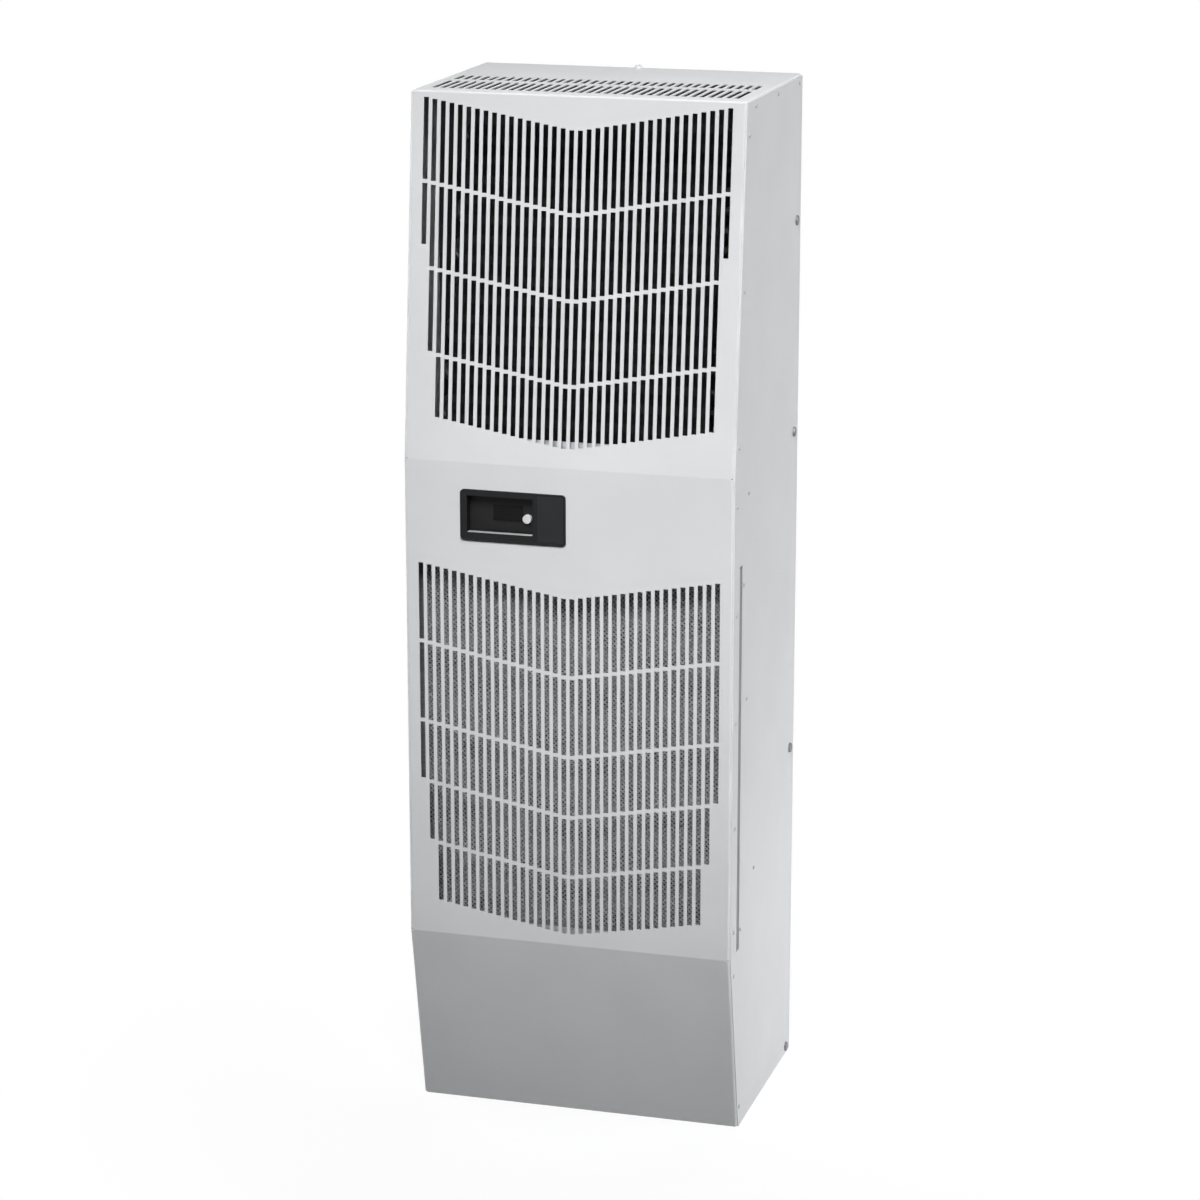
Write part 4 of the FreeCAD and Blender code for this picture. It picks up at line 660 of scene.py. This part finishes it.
def fin_pack(foot, length, left, right):
    """One corrugated fin, repeated over the width of the coil."""
    deselect_all()
    bpy.ops.mesh.primitive_grid_add(x_subdivisions=FIN_FOLDS, y_subdivisions=1, size=1)
    fin = bpy.context.object
    fin.scale = (COIL_DEPTH, length, 1)
    fin.rotation_euler = (math.radians(90), 0, math.radians(90))
    settle(fin)
    bpy.ops.object.mode_set(mode="EDIT")
    mesh = bmesh.from_edit_mesh(fin.data)
    for vertex in mesh.verts:
        fold = round((vertex.co.y / COIL_DEPTH + 0.5) * FIN_FOLDS)
        vertex.co.x += FIN_WAVE if fold % 2 else -FIN_WAVE
    bmesh.update_edit_mesh(fin.data)
    bpy.ops.object.mode_set(mode="OBJECT")
    apply_modifier(fin, "SOLIDIFY", thickness=FIN_SHEET, offset=0)
    fin.location = (left + FIN_PITCH / 2, COIL_DEPTH / 2, length / 2)
    settle(fin)
    repeat(fin, int((right - left) / FIN_PITCH), (FIN_PITCH, 0, 0))
    lean_coil(fin, foot)
    return fin


def coil_tubes(foot, left, right):
    """A row of straight tubes through the fins, hollowed at their ends."""
    deselect_all()
    bpy.ops.mesh.primitive_cylinder_add(
        vertices=TUBE_SIDES, radius=TUBE_RADIUS, depth=right - left, location=(0, COIL_DEPTH / 2, TUBE_FIRST),
        rotation=(0, math.radians(90), 0))
    tubes = bpy.context.object
    settle(tubes)
    bpy.ops.object.mode_set(mode="EDIT")
    pick_faces(tubes, lambda face: abs(face.normal.x) > ALONG_AXIS)
    bpy.ops.mesh.inset(thickness=TUBE_WALL, depth=-TUBE_BORE)
    bpy.ops.object.mode_set(mode="OBJECT")
    repeat(tubes, TUBE_COUNT, (0, 0, TUBE_PITCH))
    lean_coil(tubes, foot)
    return tubes


def condenser_coil(made):
    """Single fins and tubes, which take the place of the solid fin block."""
    foot, length, left, right = coil_foot()
    fins = fin_pack(foot, length, left, right)
    finish_piece(fins, "condenser_fin_pack", made["condenser_fin"])
    tubes = coil_tubes(foot, left, right)
    finish_piece(tubes, "condenser_tubes", made["coated_copper"])
    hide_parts("condenser_fins")


# Coil chamber and controller.
def chamber_shade_lining():
    """Thin black sheets with a foam skin, painted shade on the partition behind the coil and on both sides of
    it.
    """
    low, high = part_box("fan_deck")
    back = high.y - LINING_GAP
    front = high.y - LINING_REACH
    bottom, top = low.z + LINING_FOOT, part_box("partition")[1].z - LINING_HEAD
    outer = high.x - LINING_GAP
    inner = outer - LINING_THICKNESS
    sheets = [flat_piece((-inner, back - LINING_THICKNESS, bottom), (inner, back, top), LINING_EDGE)]
    for left, right in ((-outer, -inner), (inner, outer)):
        sheets.append(flat_piece((left, front, bottom), (right, back, top), LINING_EDGE))
    # Near-black colour, which stands in for the shade deep in the coil chamber.
    foam = closed_cell_foam("black_chamber_shade_sheet", (0.008, 0.008, 0.008), (0.024, 0.024, 0.025), pore=1.2 * MM)
    finish_piece(join_pieces(sheets), "chamber_shade_lining", foam)


def recess_ledge():
    """The pale ledge along the bottom of the controller's recess."""
    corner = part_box("controller_bezel")[0]
    left, front, top = corner.x + LEDGE_FROM_LEFT, corner.y + LEDGE_SETBACK, corner.z + LEDGE_RISE
    ledge = flat_piece((left, front, top - LEDGE_THICKNESS),
                       (left + LEDGE_LENGTH, front + LEDGE_DEPTH, top), LEDGE_EDGE)
    plastic = grained_plastic(
        "pale_ledge_plastic", (0.47, 0.472, 0.478), grain=0.7 * MM, low=0.3, high=0.42)
    finish_piece(ledge, "recess_ledge", plastic)


# Studio.
def sees_directly(nodes, links):
    """An output that is 1 for what the camera, a gloss or clear glass sees, and 0 for light on the object."""
    rays = nodes.new("ShaderNodeLightPath").outputs
    value = rays["Is Camera Ray"]
    for kind in ("Is Glossy Ray", "Is Transmission Ray"):
        either = nodes.new("ShaderNodeMath")
        either.operation = "MAXIMUM"
        links.new(value, either.inputs[0])
        links.new(rays[kind], either.inputs[1])
        value = either.outputs["Value"]
    return value


def between(nodes, links, value, low, high):
    """A node that maps a value to the range between two limits."""
    node = nodes.new("ShaderNodeMapRange")
    node.inputs["To Min"].default_value = low
    node.inputs["To Max"].default_value = high
    links.new(value, node.inputs["Value"])
    return node


def floor_finish():
    """Matt and pale under the object, so that its shadow shows, and pure white further out."""
    material = bpy.data.materials.new("pale_studio_floor")
    material.use_nodes = True
    nodes, links = material.node_tree.nodes, material.node_tree.links
    nodes.remove(nodes["Principled BSDF"])
    direct = sees_directly(nodes, links)
    matt = nodes.new("ShaderNodeBsdfDiffuse")
    shade = between(nodes, links, direct, FLOOR_BOUNCE, FLOOR_SHADE)
    links.new(shade.outputs["Result"], matt.inputs["Color"])
    glow = nodes.new("ShaderNodeEmission")
    glow.inputs["Strength"].default_value = 1
    place = nodes.new("ShaderNodeTexCoord")
    away = nodes.new("ShaderNodeVectorMath")
    away.operation = "LENGTH"
    links.new(place.outputs["Object"], away.inputs[0])
    white = between(nodes, links, away.outputs["Value"], WHITE_NEAR, 1)
    white.interpolation_type = "SMOOTHSTEP"
    white.inputs["From Min"].default_value = WHITE_STARTS
    white.inputs["From Max"].default_value = WHITE_ENDS
    share = nodes.new("ShaderNodeMath")
    share.operation = "MULTIPLY"
    links.new(direct, share.inputs[0])
    links.new(white.outputs["Result"], share.inputs[1])
    surface = nodes.new("ShaderNodeMixShader")
    links.new(share.outputs["Value"], surface.inputs["Fac"])
    links.new(matt.outputs["BSDF"], surface.inputs[1])
    links.new(glow.outputs["Emission"], surface.inputs[2])
    links.new(surface.outputs["Shader"], nodes["Material Output"].inputs["Surface"])
    return material


def floor():
    """The floor that the object stands on."""
    deselect_all()
    bpy.ops.mesh.primitive_plane_add(size=FLOOR_SIZE)
    sheet = bpy.context.object
    sheet.name = "studio_floor"
    sheet.data.materials.append(floor_finish())


def white_world():
    """White where the camera, a gloss or clear glass sees it, a low even light elsewhere."""
    world = bpy.data.worlds.new("white_studio")
    bpy.context.scene.world = world
    world.use_nodes = True
    nodes, links = world.node_tree.nodes, world.node_tree.links
    background = nodes["Background"]
    background.inputs["Color"].default_value = (1, 1, 1, 1)
    strength = between(nodes, links, sees_directly(nodes, links), WORLD_LIGHT, 1)
    links.new(strength.outputs["Result"], background.inputs["Strength"])


def aimed(name, data, place, aim):
    """A lamp or camera at a place, turned to look at a point."""
    holder = bpy.data.objects.new(name, data)
    bpy.context.scene.collection.objects.link(holder)
    holder.location = place
    holder.rotation_euler = (Vector(aim) - Vector(place)).to_track_quat("-Z", "Y").to_euler()
    return holder


def softbox(name, place, aim, size, power, mirrored=True, spread=180):
    """A rectangular lamp in metres and watts, mirrored in gloss or not, with a spread in degrees."""
    lamp = bpy.data.lights.new(name, "AREA")
    lamp.shape = "RECTANGLE"
    lamp.size, lamp.size_y = size
    lamp.energy = power
    lamp.spread = math.radians(spread)
    holder = aimed(name, lamp, place, aim)
    holder.visible_camera = False
    holder.visible_glossy = mirrored


def studio_lights():
    """A gridded lamp high in front, lamps at both sides, a small one low at the right, and one behind."""
    softbox("front_light", place=(0.49, -1.41, 2.26), aim=(0.25, FRONT_FACE, 0.97),
            size=(1.55, 1.4), power=10.4, spread=36)
    softbox("right_light", place=(3.4, 0.5, 1.35), aim=(RIGHT_WALL, 0.05, 1.0), size=(1.3, 1.2), power=55)
    softbox("right_low_light", place=(0.75, 0.1, 0.15), aim=(RIGHT_WALL, 0.1, 0.15),
            size=(0.5, 0.2), power=1.1)
    softbox("left_light", place=(-2.6, 0.6, 0.85), aim=(LEFT_WALL, 0.05, 0.65), size=(1.4, 1.4), power=46)
    softbox("rear_light", place=(0.3, 3.2, 0.62), aim=(0, REAR_FACE, 0.62),
            size=(1.8, 1.1), power=75, mirrored=False)


def camera():
    """The camera of the photograph's view, without lens shift."""
    view = bpy.data.cameras.new("camera")
    view.lens = CAMERA_LENS
    view.sensor_width = CAMERA_SENSOR
    bpy.context.scene.camera = aimed("camera", view, CAMERA_PLACE, CAMERA_AIM)


made = dress_nodes()
side_fasteners()
filter_weave()
filter_end_strip(made)
condenser_coil(made)
chamber_shade_lining()
recess_ledge()
floor()
white_world()
studio_lights()
camera()
bpy.context.scene.view_settings.view_transform = "Standard"
deselect_all()
